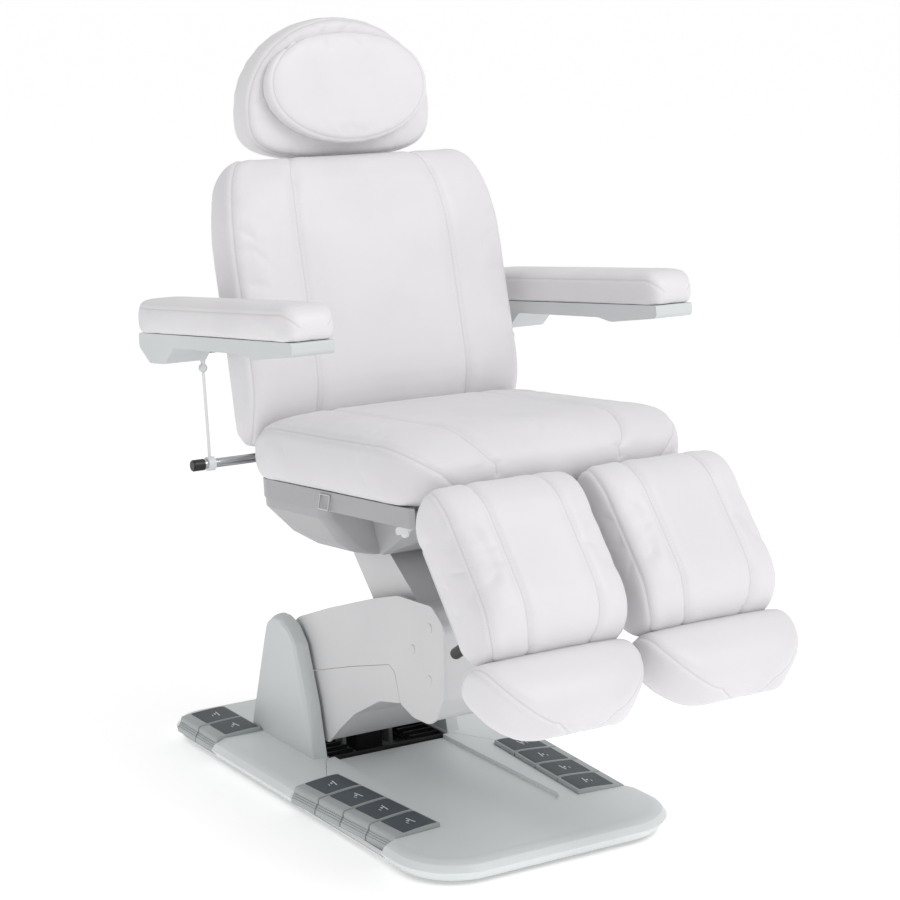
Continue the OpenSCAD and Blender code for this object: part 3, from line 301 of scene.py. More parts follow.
@dataclass(frozen=True)
class MouldedPlastic:
    """Injection-moulded ABS: one colour, a faint spark-eroded grain and an even satin gloss.

    The real grain is too fine to show, so it is drawn over a millimetre wide.
    """

    name: str
    colour: str
    shade: str
    roughness: float = 0.36
    swing: Span = (0.07, 0.07)
    patch_scale: float = 4.0
    patch_detail: float = 2.0
    patch_span: Span = (0.3, 0.75)
    smear_scale: float = 14.0
    smear_detail: float = 5.0
    ior: float = 1.53
    grain_mm: float = 1.6
    grain_detail: float = 2.0
    grain_depth: float = 0.05
    bump_mm: float = 0.4

    def build(self) -> Material:
        """Makes the plastic's material."""
        material, tree, shader = start_material(self.name)
        place = add_node(tree, "ShaderNodeTexCoord", {}, "Object")
        cloud = add_node(tree, NOISE, pattern(place, self.patch_scale, self.patch_detail))
        patches = add_node(tree, RANGE, within(cloud, self.patch_span), **SMOOTH)
        shades = {0: patches, 6: linear(self.colour), 7: linear(self.shade)}
        smear = add_node(tree, NOISE, pattern(place, self.smear_scale, self.smear_detail))
        grain = add_node(tree, NOISE, pattern(place, 1 / (self.grain_mm * MM), self.grain_detail))
        looks = {
            "Base Color": add_node(tree, MIX, shades, 2, **COLOURS),
            "Roughness": add_node(tree, RANGE, around(smear, self.roughness, self.swing)),
            "IOR": self.ior,
            "Normal": add_node(tree, BUMP, relief(grain, self.grain_depth, self.bump_mm)),
        }
        set_inputs(tree, shader, looks)
        return material


@dataclass(frozen=True)
class CoatedSteel:
    """Powder-coated steel: a slightly orange-peeled coat over the metal."""

    name: str
    colour: str
    roughness: float = 0.42
    swing: Span = (0.06, 0.06)
    peel_scale: float = 420.0
    peel_detail: float = 2.0
    peel_depth: float = 0.12
    bump_mm: float = 0.5

    def build(self) -> Material:
        """Makes the coat's material."""
        material, tree, shader = start_material(self.name)
        place = add_node(tree, "ShaderNodeTexCoord", {}, "Object")
        peel = add_node(tree, NOISE, pattern(place, self.peel_scale, self.peel_detail))
        looks = {
            "Base Color": linear(self.colour),
            "Roughness": add_node(tree, RANGE, around(peel, self.roughness, self.swing)),
            "Normal": add_node(tree, BUMP, relief(peel, self.peel_depth, self.bump_mm)),
        }
        set_inputs(tree, shader, looks)
        return material


@dataclass(frozen=True)
class BrightSteel:
    """Polished chrome-plated steel: mirror bright, with faint draw marks."""

    name: str = "bright plated steel"
    colour: str = "#c9cbcd"
    roughness: float = 0.16
    swing: Span = (0.05, 0.08)
    mark_scale: float = 60.0
    mark_detail: float = 3.0

    def build(self) -> Material:
        """Makes the plated steel's material."""
        material, tree, shader = start_material(self.name)
        place = add_node(tree, "ShaderNodeTexCoord", {}, "Object")
        marks = add_node(tree, NOISE, pattern(place, self.mark_scale, self.mark_detail))
        looks = {
            "Base Color": linear(self.colour),
            "Metallic": 1.0,
            "Roughness": add_node(tree, RANGE, around(marks, self.roughness, self.swing)),
        }
        set_inputs(tree, shader, looks)
        return material


Finish = Union[ArtificialLeather, MouldedPlastic, CoatedSteel, BrightSteel]

LEATHER = ArtificialLeather()
WHITE_COVER = MouldedPlastic("white moulded cover", "#d6d6d7", "#d1d1d3")
# Painted shade: the seat shell is the same white plastic as the other covers, drawn darker for the
# shade under the seat.
SHADED_SEAT_COVER = MouldedPlastic("seat shell plastic", "#a8a8aa", "#a3a3a6")
# Painted light: the base is the towers' light grey plastic, drawn lighter to make up for the shade
# the chair casts on it.
LIT_BASE_COVER = MouldedPlastic("base cover plastic", "#e4e8e8", "#dfe3e4", roughness=0.4)
GREY_COVER = MouldedPlastic("light grey moulded cover", "#cfd3d4", "#cacecf", roughness=0.4)
PEDAL_CAP = MouldedPlastic("pedal cap plastic", "#aeb3b4", "#a8adae", roughness=0.38)
PEDAL_INLAY = MouldedPlastic(
    "slate pedal inlay", "#454e55", "#40494f", roughness=0.5, grain_depth=0.12
)
PRINT_WHITE = MouldedPlastic("white printed symbol", "#e8ecee", "#dfe4e6", roughness=0.5)
BLACK_PLASTIC = MouldedPlastic("black moulded plastic", "#1b1c1e", "#141517", roughness=0.4)
GREY_STEEL = CoatedSteel("grey powder coat", "#8e9294")
WHITE_STEEL = CoatedSteel("white powder coat", "#dfe0e1")
BLACK_STEEL = CoatedSteel("black powder coat", "#1d1e20")
BRIGHT_STEEL = BrightSteel()


class Palette:
    """Builds each finish once and hands out its material."""

    def __init__(self) -> None:
        """Starts with no material built."""
        self.made: dict[str, Material] = {}

    def __call__(self, finish: Finish) -> Material:
        """Material of a finish."""
        if finish.name not in self.made:
            self.made[finish.name] = finish.build()
        return self.made[finish.name]

    def dress(self, piece: Object, finish: Finish) -> None:
        """Gives a piece one finish all over.

        Args:
            piece: Object to dress.
            finish: Finish to use.
        """
        piece.data.materials.clear()
        piece.data.materials.append(self(finish))


# ---- placing and meshing helpers


@dataclass(frozen=True)
class Place:
    """Where a group lies in the side view: a point in millimetres and a turn about X."""

    y: float
    z: float
    turn: float
    x: float = 0.0

    def matrix(self) -> Matrix:
        """Matrix from the group's own frame in metres to the row frame."""
        turn = Matrix.Rotation(math.radians(self.turn), 4, "X")
        return Matrix.Translation(Vector((self.x, self.y, self.z)) * MM) @ turn

    def moved(self, x: float = 0.0, y: float = 0.0, z: float = 0.0) -> "Place":
        """The same frame with its origin shifted along its own axes, in millimetres."""
        p = self.matrix() @ (Vector((x, y, z)) * MM)
        return Place(p.y / MM, p.z / MM, self.turn, p.x / MM)


SEAT = Place(67.76, 632.67, -5.1)
BACK = Place(137.76, 656.67, 75.0)
HEAD = Place(249.34, 1204.46, 86.5)
ARM = Place(211.90, 860.63, -6.2)
LEG = Place(-466.24, 671.67, 50.0)
FOOT = Place(-652.06, 416.00, 30.0)


def body_of(node: str) -> str:
    """CAD body that a node belongs to."""
    bodies = frame["record"]["behaviour"]["bodies"]
    return next(body for body, members in bodies.items() if node in members)


def slot_of(node: str) -> str:
    """Record's material slot of a node."""
    return next(s["material_slot"] for s in frame["record"]["subparts"] if s["node"] == node)


def link(name: str, data: bpy.types.ID) -> Object:
    """Adds an object with this data to the scene, at the origin."""
    thing = bpy.data.objects.new(name, data)
    bpy.context.scene.collection.objects.link(thing)
    return thing


def new_piece(name: str, bm: BMesh, sharp: float = 35.0) -> Object:
    """Turns a bmesh into a linked object at the origin.

    Args:
        name: Piece name.
        bm: Mesh to use; it is freed.
        sharp: Edges steeper than this many degrees stay sharp.

    Returns:
        The new object.
    """
    mesh = bpy.data.meshes.new(name)
    bm.to_mesh(mesh)
    bm.free()
    mesh.polygons.foreach_set("use_smooth", [True] * len(mesh.polygons))
    mesh.set_sharp_from_angle(angle=math.radians(sharp))
    return link(name, mesh)


def apply_modifiers(piece: Object) -> None:
    """Bakes a piece's modifiers into its mesh."""
    graph = bpy.context.evaluated_depsgraph_get()
    mesh = bpy.data.meshes.new_from_object(piece.evaluated_get(graph))
    mesh.name = piece.name
    piece.modifiers.clear()
    piece.data = mesh


def prism(outline: Sequence[Span], depth: float, plane: str = "XZ") -> BMesh:
    """Extrudes a closed outline.

    Args:
        outline: Points in millimetres, in the given plane.
        depth: Length of the extrusion in millimetres, centred on the plane.
        plane: "XZ" extrudes along Y and "XY" along Z.

    Returns:
        The closed prism in metres.
    """
    flat = plane == "XY"
    spots = [(a, b, -depth / 2) if flat else (a, -depth / 2, b) for a, b in outline]
    push = Vector((0, 0, depth) if flat else (0, depth, 0)) * MM
    bm = bmesh.new()
    face = bm.faces.new([bm.verts.new(Vector(spot) * MM) for spot in spots])
    made = bmesh.ops.extrude_face_region(bm, geom=[face])["geom"]
    moved = [part for part in made if isinstance(part, bmesh.types.BMVert)]
    bmesh.ops.translate(bm, verts=moved, vec=push)
    bmesh.ops.recalc_face_normals(bm, faces=bm.faces)
    return bm


def bevel(bm: BMesh, edges: Sequence[bmesh.types.BMEdge], width: float, segments: int = 2) -> None:
    """Rounds edges.

    Args:
        bm: Mesh to change.
        edges: Edges to round.
        width: Bevel width in millimetres.
        segments: Number of bevel segments.
    """
    bmesh.ops.bevel(
        bm, geom=edges, offset=width * MM, offset_type="OFFSET", segments=segments,
        profile=0.5, affect="EDGES", clamp_overlap=True, material=-1,
    )


def soften(bm: BMesh, width: float, angle: float) -> None:
    """Rounds every edge that is steeper than an angle.

    Args:
        bm: Mesh to change.
        width: Bevel width in millimetres.
        angle: Least angle between faces, in degrees.
    """
    least = math.radians(angle)
    bevel(bm, [e for e in bm.edges if e.is_manifold and e.calc_face_angle(0) > least], width)


def relax(bm: BMesh, turns: int, factor: float) -> None:
    """Smooths every vertex towards its neighbours.

    Args:
        bm: Mesh to change.
        turns: Number of steps.
        factor: Share of the way in one step.
    """
    for _ in range(turns):
        bmesh.ops.smooth_vert(
            bm, verts=bm.verts, factor=factor, use_axis_x=True, use_axis_y=True, use_axis_z=True
        )


def rows(mesh: Mesh, field: str = "co") -> Array:
    """Vertex positions ("co") or vertex normals ("normal") of a mesh, one to a row."""
    out = np.empty(len(mesh.vertices) * 3)
    mesh.vertices.foreach_get(field, out)
    return out.reshape(-1, 3)


def set_rows(mesh: Mesh, points: Array) -> None:
    """Writes vertex positions back to a mesh."""
    mesh.vertices.foreach_set("co", points.ravel())
    mesh.update()


def spread(mesh: Mesh, values: Array, turns: int) -> Array:
    """Averages values over neighbouring vertices.

    Args:
        mesh: Mesh that the values belong to.
        values: One value for each vertex.
        turns: Number of averaging steps.

    Returns:
        The smoothed values.
    """
    ends = np.empty(len(mesh.edges) * 2, dtype=np.int64)
    mesh.edges.foreach_get("vertices", ends)
    a, b = ends.reshape(-1, 2).T
    count = np.maximum(np.bincount(ends, minlength=len(values)), 1)
    for _ in range(turns):
        total = np.bincount(a, values[b], len(values)) + np.bincount(b, values[a], len(values))
        values = 0.5 * values + 0.5 * total / count
    return values


def surface_distance(level: Level, points: Array, normals: Array) -> Array:
    """Distance along a surface from where a level is zero.

    Args:
        level: Function of points.
        points: Surface points in millimetres.
        normals: Unit normals of the surface.

    Returns:
        Signed distances in millimetres, at most FAR_MM.
    """
    steps = np.eye(3) * PROBE_MM
    slopes = [(level(points + s) - level(points - s)) / (2 * PROBE_MM) for s in steps]
    slope = np.stack(slopes, axis=1)
    slope -= normals * np.sum(slope * normals, axis=1, keepdims=True)
    steep = np.linalg.norm(slope, axis=1)
    return np.clip(level(points) / np.maximum(steep, LEAST_SLOPE), -FAR_MM, FAR_MM)


# ---- padded pieces


def bow(d: Array, r: float) -> Array:
    """Rise of an elliptical edge: 0 at the end, 1 at the distance r from it."""
    return np.sqrt(np.clip(1 - (1 - np.clip(d / r, 0, 1)) ** 2, 0, 1))


@dataclass(frozen=True)
class PadEnd:
    """One end of a pad, in millimetres: tip height, roundings, tip width share, corner length."""

    tip: float
    above: float
    below: float
    width_share: float
    corner: float


@dataclass(frozen=True)
class PadForm:
    """Outer form of a pad in millimetres, lying on z = 0 with its length along +Y."""

    width: float
    length: float
    height: float
    near: PadEnd
    far: PadEnd

    def top(self, y: Array) -> Array:
        """Height of the crown along the pad."""
        near, far = self.near, self.far
        a = near.tip + (self.height - near.tip) * bow(y, near.above)
        b = far.tip + (self.height - far.tip) * bow(self.length - y, far.above)
        return np.minimum(a, b)

    def floor(self, y: Array) -> Array:
        """Height of the underside along the pad."""
        a = self.near.tip * (1 - bow(y, self.near.below))
        b = self.far.tip * (1 - bow(self.length - y, self.far.below))
        return np.maximum(a, b)

    def half(self, y: Array) -> Array:
        """Half width along the pad."""
        near, far = self.near, self.far
        a = near.width_share + (1 - near.width_share) * bow(y, near.corner)
        b = far.width_share + (1 - far.width_share) * bow(self.length - y, far.corner)
        return self.width / 2 * a * b

    def side_seam(self, share: float = 0.84, inset: float = 0.975) -> Level:
        """Level that is zero on the seam between the side panels and the face."""

        def level(p: Array) -> Array:
            """Signed level, positive on the face."""
            low, high = self.floor(p[:, 1]), self.top(p[:, 1])
            above = p[:, 2] - (low + share * (high - low))
            outside = np.abs(p[:, 0]) - inset * self.half(p[:, 1])
            return (above - outside) / math.sqrt(2)

        return level

    def channel(self, share: float) -> Level:
        """Level that is zero on a channel at a share of the half width."""
        return lambda p: np.abs(p[:, 0]) - share * self.half(p[:, 1])


def d_level(half: float, height: float, share: float, inset: float = 3.0) -> Level:
    """Level that is zero on a D outline a little inside the headrest's edge.

    Args:
        half: Half width in millimetres.
        height: Height in millimetres.
        share: Share of the height where the outline is widest.
        inset: How far the line lies inside the edge, in millimetres.

    Returns:
        The level.
    """

    def level(p: Array) -> Array:
        """Signed level, positive on the face."""
        middle = height * share
        above = p[:, 1] > middle
        up = (p[:, 1] - middle) / np.where(above, height * (1 - share), middle)
        across = np.abs(p[:, 0] / half)
        dome = np.sqrt(across**2 + up**2)
        box = np.power(across**3.0 + np.abs(up) ** 3.0, 1 / 3.0)
        return 0.5 * ((1 - np.where(up > 0, dome, box)) * half + p[:, 2] + inset)

    return level


def oval_level(half_w: float, half_h: float, inset: float) -> Level:
    """Level that is zero on an oval a little inside the pillow's edge."""
    mean = half_w + half_h
    return lambda p: (1 - np.hypot(p[:, 0] / half_w, p[:, 1] / half_h)) * mean / 2 - inset


@dataclass(frozen=True)
class Sewn:
    """A sewn line on a pad, in millimetres.

    It has a level, a depth and a width, the least height where it shows, the direction that its
    stitches are counted along, and a puff of the filling at each side.
    """

    level: Level
    depth: float
    width: float
    lowest: float = 0.0
    run: Point = (0.0, 1.0, 1.0)
    puff: float = 0.0
    puff_off: float = 3.2
    puff_wide: float = 2.0

    def press(self, distance: Array) -> Array:
        """How far the surface rises at a distance from the line, in millimetres."""
        groove = self.depth * np.exp(-((distance / self.width) ** 2))
        aside = np.abs(distance) - self.puff_off * self.width
        return self.puff * np.exp(-((aside / (self.puff_wide * self.width)) ** 2)) - groove


@dataclass(frozen=True)
class Cover:
    """The cloth of a pad while it is blown up."""

    frames: int = 20
    quality: int = 4
    mass: float = 0.3
    stretch: float = 12.0
    shear: float = 5.0
    bending: float = 0.6
    pressure: float = 4.0

    def blow(self, piece: Object) -> None:
        """Runs the simulation with no gravity and applies it.

        Args:
            piece: Object to blow up.
        """
        scene = bpy.context.scene
        modifier = piece.modifiers.new("cover", "CLOTH")
        cloth = modifier.settings
        cloth.quality = self.quality
        cloth.mass = self.mass
        cloth.tension_stiffness = cloth.compression_stiffness = self.stretch
        cloth.shear_stiffness = self.shear
        cloth.bending_stiffness = self.bending
        cloth.use_pressure = True
        cloth.uniform_pressure_force = self.pressure
        cloth.effector_weights.gravity = 0
        modifier.point_cache.frame_start = 1
        modifier.point_cache.frame_end = self.frames
        for number in range(1, self.frames + 1):
            scene.frame_set(number)
        apply_modifiers(piece)
        scene.frame_set(1)


COVER = Cover()


@dataclass(frozen=True)
class Upholstered:
    """One stuffed piece: the CAD solid it fills, its frame, its sewing and how it is blown.

    Lengths are in millimetres. The piece starts smaller than the solid by the shrink, swells by
    the cap at most, and ends proud of the solid with its folds kept.
    """

    node: str
    place: Place
    seam: Optional[Sewn] = None
    channel: Optional[Sewn] = None
    voxel: float = 6.0
    quick_voxel: float = 10.0
    relax_turns: int = 4
    relax_factor: float = 0.5
    shrink: float = 5.0
    cap: float = 11.0
    proud: float = 1.5
    evening: int = 30
    folds: float = 0.8
    fold_cap: float = 2.0
    move_evening: int = 3
    settle_turns: int = 2
    settle_factor: float = 0.4
    fill: float = 0.8
    floor: Optional[float] = 0.0

    def build(self, palette: Palette) -> Object:
        """Makes the piece: blown up by cloth simulation, held to its form, then sewn.

        Args:
            palette: Materials.

        Returns:
            The piece, riding on the CAD body of its node.
        """
        back = self.place.matrix()
        mesh = self.start(back.inverted())
        piece = link(f"{self.node}_pad", mesh)
        corners = [tuple(v.co) for v in mesh.vertices]
        solid = BVHTree.FromPolygons(corners, [tuple(p.vertices) for p in mesh.polygons])
        self.remesh(piece)
        self.inflate(piece)
        self.hold(piece.data, solid)
        self.subdivide(piece)
        self.sew(piece.data)
        piece.data.transform(back)
        piece.data.polygons.foreach_set("use_smooth", [True] * len(piece.data.polygons))
        palette.dress(piece, LEATHER)
        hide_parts(self.node)
        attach(piece, body_of(self.node))
        log.info("pad %s: %d faces", piece.name, len(piece.data.polygons))
        return piece

    def start(self, into: Matrix) -> Mesh:
        """Closed copy of the CAD solid in the pad's own frame.

        Args:
            into: Matrix from the row frame.

        Returns:
            The merged mesh.
        """
        bm = bmesh.new()
        bm.from_mesh(frame["nodes"][self.node].data)
        bmesh.ops.remove_doubles(bm, verts=bm.verts, dist=MERGE_MM * MM)
        bmesh.ops.transform(bm, matrix=into, verts=bm.verts)
        mesh = bpy.data.meshes.new(f"{self.node}_pad")
        bm.to_mesh(mesh)
        bm.free()
        return mesh

    def remesh(self, piece: Object) -> None:
        """Voxel remesh of the solid, smoothed and shrunk.

        Args:
            piece: Object to remesh.
        """
        modifier = piece.modifiers.new("even", "REMESH")
        modifier.mode = "VOXEL"
        modifier.voxel_size = self.voxel * MM
        apply_modifiers(piece)
        bm = bmesh.new()
        bm.from_mesh(piece.data)
        relax(bm, self.relax_turns, self.relax_factor)
        bm.normal_update()
        for v in bm.verts:
            v.co -= v.normal * self.shrink * MM
        bm.to_mesh(piece.data)
        bm.free()

    def inflate(self, piece: Object) -> None:
        """Cloth under air pressure, with a cap on each point's way.

        Args:
            piece: Object to blow up.
        """
        before = rows(piece.data)
        COVER.blow(piece)
        way = rows(piece.data) - before
        length = np.maximum(np.linalg.norm(way, axis=1, keepdims=True), 1e-9)
        cap = self.cap * MM
        short = np.minimum(1, cap * np.tanh(length / cap) / length)
        set_rows(piece.data, before + way * short)

    def hold(self, mesh: Mesh, solid: BVHTree) -> None:
        """Brings the blown form back to the CAD solid's size and keeps its fine folds.

        Args:
            mesh: Mesh to change.
            solid: Search tree of the CAD solid.
        """
        points = rows(mesh)
        gaps = np.empty(len(points))
        for i, p in enumerate(points):
            near, normal, _, gap = solid.find_nearest(Vector(p))
            gaps[i] = math.copysign(gap, (Vector(p) - near).dot(normal))
        most = self.fold_cap * MM
        fine = np.clip(gaps - spread(mesh, gaps, self.evening), -most, most)
        move = self.proud * MM + fine * self.folds - gaps
        points += rows(mesh, "normal") * spread(mesh, move, self.move_evening)[:, None]
        if self.floor is not None:
            points[:, 2] = np.maximum(points[:, 2], self.floor * MM)
        set_rows(mesh, points)
        bm = bmesh.new()
        bm.from_mesh(mesh)
        relax(bm, self.settle_turns, self.settle_factor)
        bm.to_mesh(mesh)
        bm.free()

    def subdivide(self, piece: Object) -> None:
        """One applied subdivision, so that seams narrower than a voxel can be sewn in.

        Args:
            piece: Object to subdivide.
        """
        modifier = piece.modifiers.new("fine", "SUBSURF")
        modifier.levels = modifier.render_levels = 1
        apply_modifiers(piece)

    def sew(self, mesh: Mesh) -> None:
        """Presses the seams in and stores their distances for the leather.

        Args:
            mesh: Mesh to change, in the pad's own frame.
        """
        points = rows(mesh) / MM
        normals = rows(mesh, "normal")
        push = np.zeros(len(points))
        for name, sewn in (("seam", self.seam), ("channel", self.channel)):
            distance = np.full(len(points), FAR_MM)
            run = np.zeros(len(points))
            if sewn is not None:
                distance = surface_distance(sewn.level, points, normals)
                hidden = points[:, 2] < sewn.lowest
                distance = np.where(hidden, np.sign(distance) * FAR_MM, distance)
                run = points @ np.array(sewn.run)
                push += sewn.press(distance)
            for label, values in ((f"{name}_mm", distance), (f"{name}_run_mm", run)):
                attribute = mesh.attributes.new(label, "FLOAT", "POINT")
                attribute.data.foreach_set("value", values.astype(np.float32))
        set_rows(mesh, (points + normals * push[:, None]) * MM)


@dataclass(frozen=True)
class Upholstery:
    """All cushions of the chair, with lengths in millimetres."""

    leg_x: float = 160.0
    foot_x: float = 167.0
    arm_x: float = 385.0
    arm_y: float = -530.0
    arm_z: float = 36.4
    seat_front: float = 24.0
    back_foot: float = 22.0
    pillow_y: float = 138.0
    pillow_z: float = 22.0
    seat: PadForm = PadForm(
        600, 582, 118, PadEnd(44, 112, 66, 0.78, 105), PadEnd(48, 110, 34, 0.9, 60)
    )
    back: PadForm = PadForm(
        604, 531, 112, PadEnd(8, 130, 14, 0.93, 60), PadEnd(58, 170, 50, 0.8, 190)
    )
    leg: PadForm = PadForm(
        280, 302, 130, PadEnd(52, 80, 52, 0.86, 46), PadEnd(66, 72, 62, 0.9, 44)
    )
    foot: PadForm = PadForm(
        308, 150, 98, PadEnd(40, 74, 44, 0.28, 122), PadEnd(20, 60, 18, 0.9, 30)
    )
    arm: PadForm = PadForm(92, 606, 60, PadEnd(24, 34, 20, 0.6, 36), PadEnd(24, 30, 20, 0.6, 34))

    def build(self, palette: Palette) -> None:
        """Makes every cushion.

        Args:
            palette: Materials.
        """
        pads = [self.seat_pad(), self.back_pad(), self.head_pad(), self.pillow()]
        for side in Side:
            pads += [self.arm_pad(side), self.leg_pad(side), self.foot_pad(side)]
        for pad in pads:
            pad.build(palette)

    def seat_pad(self) -> Upholstered:
        """Seat cushion with a side seam and two channels."""
        run = (0, 1, -1)
        return Upholstered(
            "seat_cushion", SEAT.moved(y=self.seat_front - self.seat.length), proud=5,
            seam=Sewn(self.seat.side_seam(), depth=1.8, width=4.5, lowest=30, run=run, puff=0.7),
            channel=Sewn(
                self.seat.channel(0.556), depth=2.4, width=6, lowest=40, run=run, puff=0.8
            ),
        )

    def back_pad(self) -> Upholstered:
        """Back cushion with a side seam and two channels."""
        run = (0, 1, 1)
        return Upholstered(
            "back_cushion", BACK.moved(y=self.back_foot), proud=5,
            seam=Sewn(self.back.side_seam(), depth=1.8, width=4.5, lowest=30, run=run, puff=0.7),
            channel=Sewn(self.back.channel(0.55), depth=2.4, width=6, lowest=30, run=run, puff=0.8),
        )

    def head_pad(self) -> Upholstered:
        """Headrest cushion with a seam inside its edge."""
        line = d_level(202, 262, 0.345)
        return Upholstered(
            "headrest_cushion", HEAD, voxel=5, shrink=4, cap=9, floor=None, proud=4,
            seam=Sewn(line, depth=1.5, width=4, lowest=-30, run=(0.6, 1, 0), puff=0.5),
        )

    def pillow(self) -> Upholstered:
        """Oval head pillow with a seam inside its edge."""
        line = oval_level(178, 112, 9)
        return Upholstered(
            "headrest_pillow", HEAD.moved(y=self.pillow_y, z=self.pillow_z),
            voxel=5, shrink=4, cap=9, floor=None, proud=3,
            seam=Sewn(line, depth=1.2, width=4, lowest=-4, run=(0.8, 1, 0), puff=0.4),
        )

    def arm_pad(self, side: Side) -> Upholstered:
        """Armrest cushion of one side with a seam above its foot."""
        line = self.arm.side_seam(0.72, 0.97)
        return Upholstered(
            f"{side.word}_armrest_cushion",
            ARM.moved(x=side.value * self.arm_x, y=self.arm_y, z=self.arm_z),
            voxel=5, shrink=3, cap=7, fill=0.9, proud=3.5,
            seam=Sewn(line, depth=0.9, width=3.5, lowest=24, run=(0, 1, -1)),
        )

    def leg_pad(self, side: Side) -> Upholstered:
        """Leg cushion of one side with a side seam and two channels."""
        run = (0, 1, 1)
        return Upholstered(
            f"{side.word}_leg_cushion",
            LEG.moved(x=side.value * self.leg_x, y=-self.leg.length), voxel=5, proud=6,
            seam=Sewn(self.leg.side_seam(), depth=1.6, width=4.5, lowest=50, run=run, puff=0.6),
            channel=Sewn(self.leg.channel(0.52), depth=2.6, width=6, lowest=60, run=run, puff=0.8),
        )

    def foot_pad(self, side: Side) -> Upholstered:
        """Foot cushion of one side with a seam round its face."""
        line = self.foot.side_seam(0.86, 0.95)
        return Upholstered(
            f"{side.word}_foot_cushion",
            FOOT.moved(x=side.value * self.foot_x, y=-self.foot.length), voxel=5, proud=4,
            seam=Sewn(line, depth=1.6, width=4.5, lowest=30, run=(1, 1, 0), puff=0.6),
        )


# ---- pedals


@dataclass(frozen=True)
class PedalSet:
    """One row of foot pedals: stepped caps, slate inlays and printed arrows, in millimetres."""

    side: Side
    front: bool
    count: int
    inner_x: float
    row_y: float
    splay: float
    length: float = 78.0
    pitch: float = 82.0
    width: float = 104.0
    top: float = 57.0
    bottom: float = 21.0
    drop: float = 6.0
    inner_gap: float = 0.8
    inner_share: float = 0.12
    inner_fall: float = 1.6
    crown_points: int = 12
    roll_start: float = 9.0
    roll: float = 7.0
    roll_turn: Span = (0.25, 1.45)
    roll_points: int = 6
    roll_drop: float = 9.0
    steps: int = 3
    step_down: float = 3.6
    step_out: float = 2.4
    heel_up: float = 6.0
    heel_in: float = 8.0
    edge: float = 1.2
    edge_angle: float = 40.0
    rim: float = 3.2
    inlay_inner: float = 1.5
    inlay_outer: float = 24.0
    inlay_points: int = 9
    inlay_up: float = 0.5
    inlay_down: float = 1.5
    inlay_corner: float = 3.0
    upright_least: float = 1.5
    symbol_share: float = 0.42
    symbol_up: float = 0.6
    symbol_thick: float = 0.4
    symbol_leans: Sequence[float] = (-7.5, 6.0, -7.5, 12.0)
    symbol_marks: Sequence[Sequence[Span]] = (
        ((-12, 5.4), (12, 5.4), (12, 7.4), (-12, 7.4)),
        ((-3, -1), (5, -1), (1, 4)),
        ((-9, -7), (-1, -7), (-1, -5.8), (-9, -5.8)),
    )

    def place(self, index: int) -> Matrix:
        """Matrix of one pedal's frame: X outwards from its inner edge, Y along the row."""
        turn = Matrix.Rotation(math.radians(-self.splay), 4, "Z")
        row = Matrix.Translation(Vector((self.inner_x, self.row_y, 0)) * MM) @ turn
        left = self.side is Side.LEFT
        mirror = Matrix.Identity(4) if left else Matrix.Scale(-1, 4, (1, 0, 0))
        step = (index - (self.count - 1) / 2) * self.pitch
        return mirror @ row @ Matrix.Translation((0, step * MM, 0))

    def top_z(self, x: float) -> float:
        """Height of the domed top at a distance from the inner edge."""
        t = x / self.width
        inner = self.inner_share
        fall = self.inner_fall * (inner - t) / inner if t < inner else 0
        return self.top - self.drop * t * t - fall

    def cap_outline(self) -> list[Span]:
        """Side view of a cap: domed top, rolled outer edge and thin steps."""
        end = self.width - self.roll_start
        crown = [(x, self.top_z(x)) for x in np.linspace(self.inner_gap, end, self.crown_points)]
        z = self.top_z(end)
        turns = np.linspace(*self.roll_turn, self.roll_points)
        roll = [
            (end + self.roll * math.sin(a), z - self.roll * (1 - math.cos(a))) for a in turns
        ]
        x, z = end + self.roll, z - self.roll_drop
        steps = []
        for _ in range(self.steps):
            below = z - self.step_down
            steps += [(x, z), (x, below), (x + self.step_out, below)]
            x, z = x + self.step_out, below
        heel = self.bottom + self.heel_up
        foot = [(x, self.bottom), (self.width - self.heel_in, self.bottom), (self.heel_in, heel)]
        return [(self.inner_gap, heel)] + crown + roll + steps + foot

    def build(self, palette: Palette) -> None:
        """Makes the pedals of the row.

        Args:
            palette: Materials.
        """
        row = "front" if self.front else "rear"
        for index in range(self.count):
            node = f"{row}_pedal_{self.side.word}_{index + 1}"
            place = self.place(index)
            cap = self.finish("cap", self.cap_mesh(), place, palette, PEDAL_CAP, node)
            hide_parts(node)
            self.finish("inlay", self.inlay_mesh(), place, palette, PEDAL_INLAY, node)
            self.finish("symbol", self.symbol_mesh(index), place, palette, PRINT_WHITE, node)
        log.info("pedals %s %s: %d", row, self.side.word, self.count)

    def finish(
        self, part: str, bm: BMesh, place: Matrix, palette: Palette, finish: Finish, node: str
    ) -> Object:
        """Places a pedal piece, dresses it and lets it ride on its pedal.

        Args:
            part: Last word of the piece's name.
            bm: Mesh in the pedal's frame.
            place: Matrix into the row frame.
            palette: Materials.
            finish: Finish of the piece.
            node: CAD node of the pedal.

        Returns:
            The new piece.
        """
        bmesh.ops.transform(bm, matrix=place, verts=bm.verts)
        bmesh.ops.recalc_face_normals(bm, faces=bm.faces)
        piece = new_piece(f"{node}_{part}", bm)
        palette.dress(piece, finish)
        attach(piece, body_of(node))
        return piece

    def cap_mesh(self) -> BMesh:
        """Cap as an extruded side view with rounded ends."""
        bm = prism(self.cap_outline(), self.length)
        soften(bm, self.edge, self.edge_angle)
        return bm

    def inlay_mesh(self) -> BMesh:
        """Slate inlay that follows the dome, with rounded corners."""
        inner, outer = self.rim + self.inlay_inner, self.width - self.inlay_outer
        xs = np.linspace(inner, outer, self.inlay_points)
        above = [(x, self.top_z(x) + self.inlay_up) for x in xs]
        below = [(x, self.top_z(x) - self.inlay_down) for x in xs[::-1]]
        bm = prism(above + below, self.length - 2 * self.rim)
        least = self.upright_least * MM
        upright = [e for e in bm.edges if abs((e.verts[0].co - e.verts[1].co).z) > least]
        bevel(bm, upright, self.inlay_corner, segments=3)
        return bm

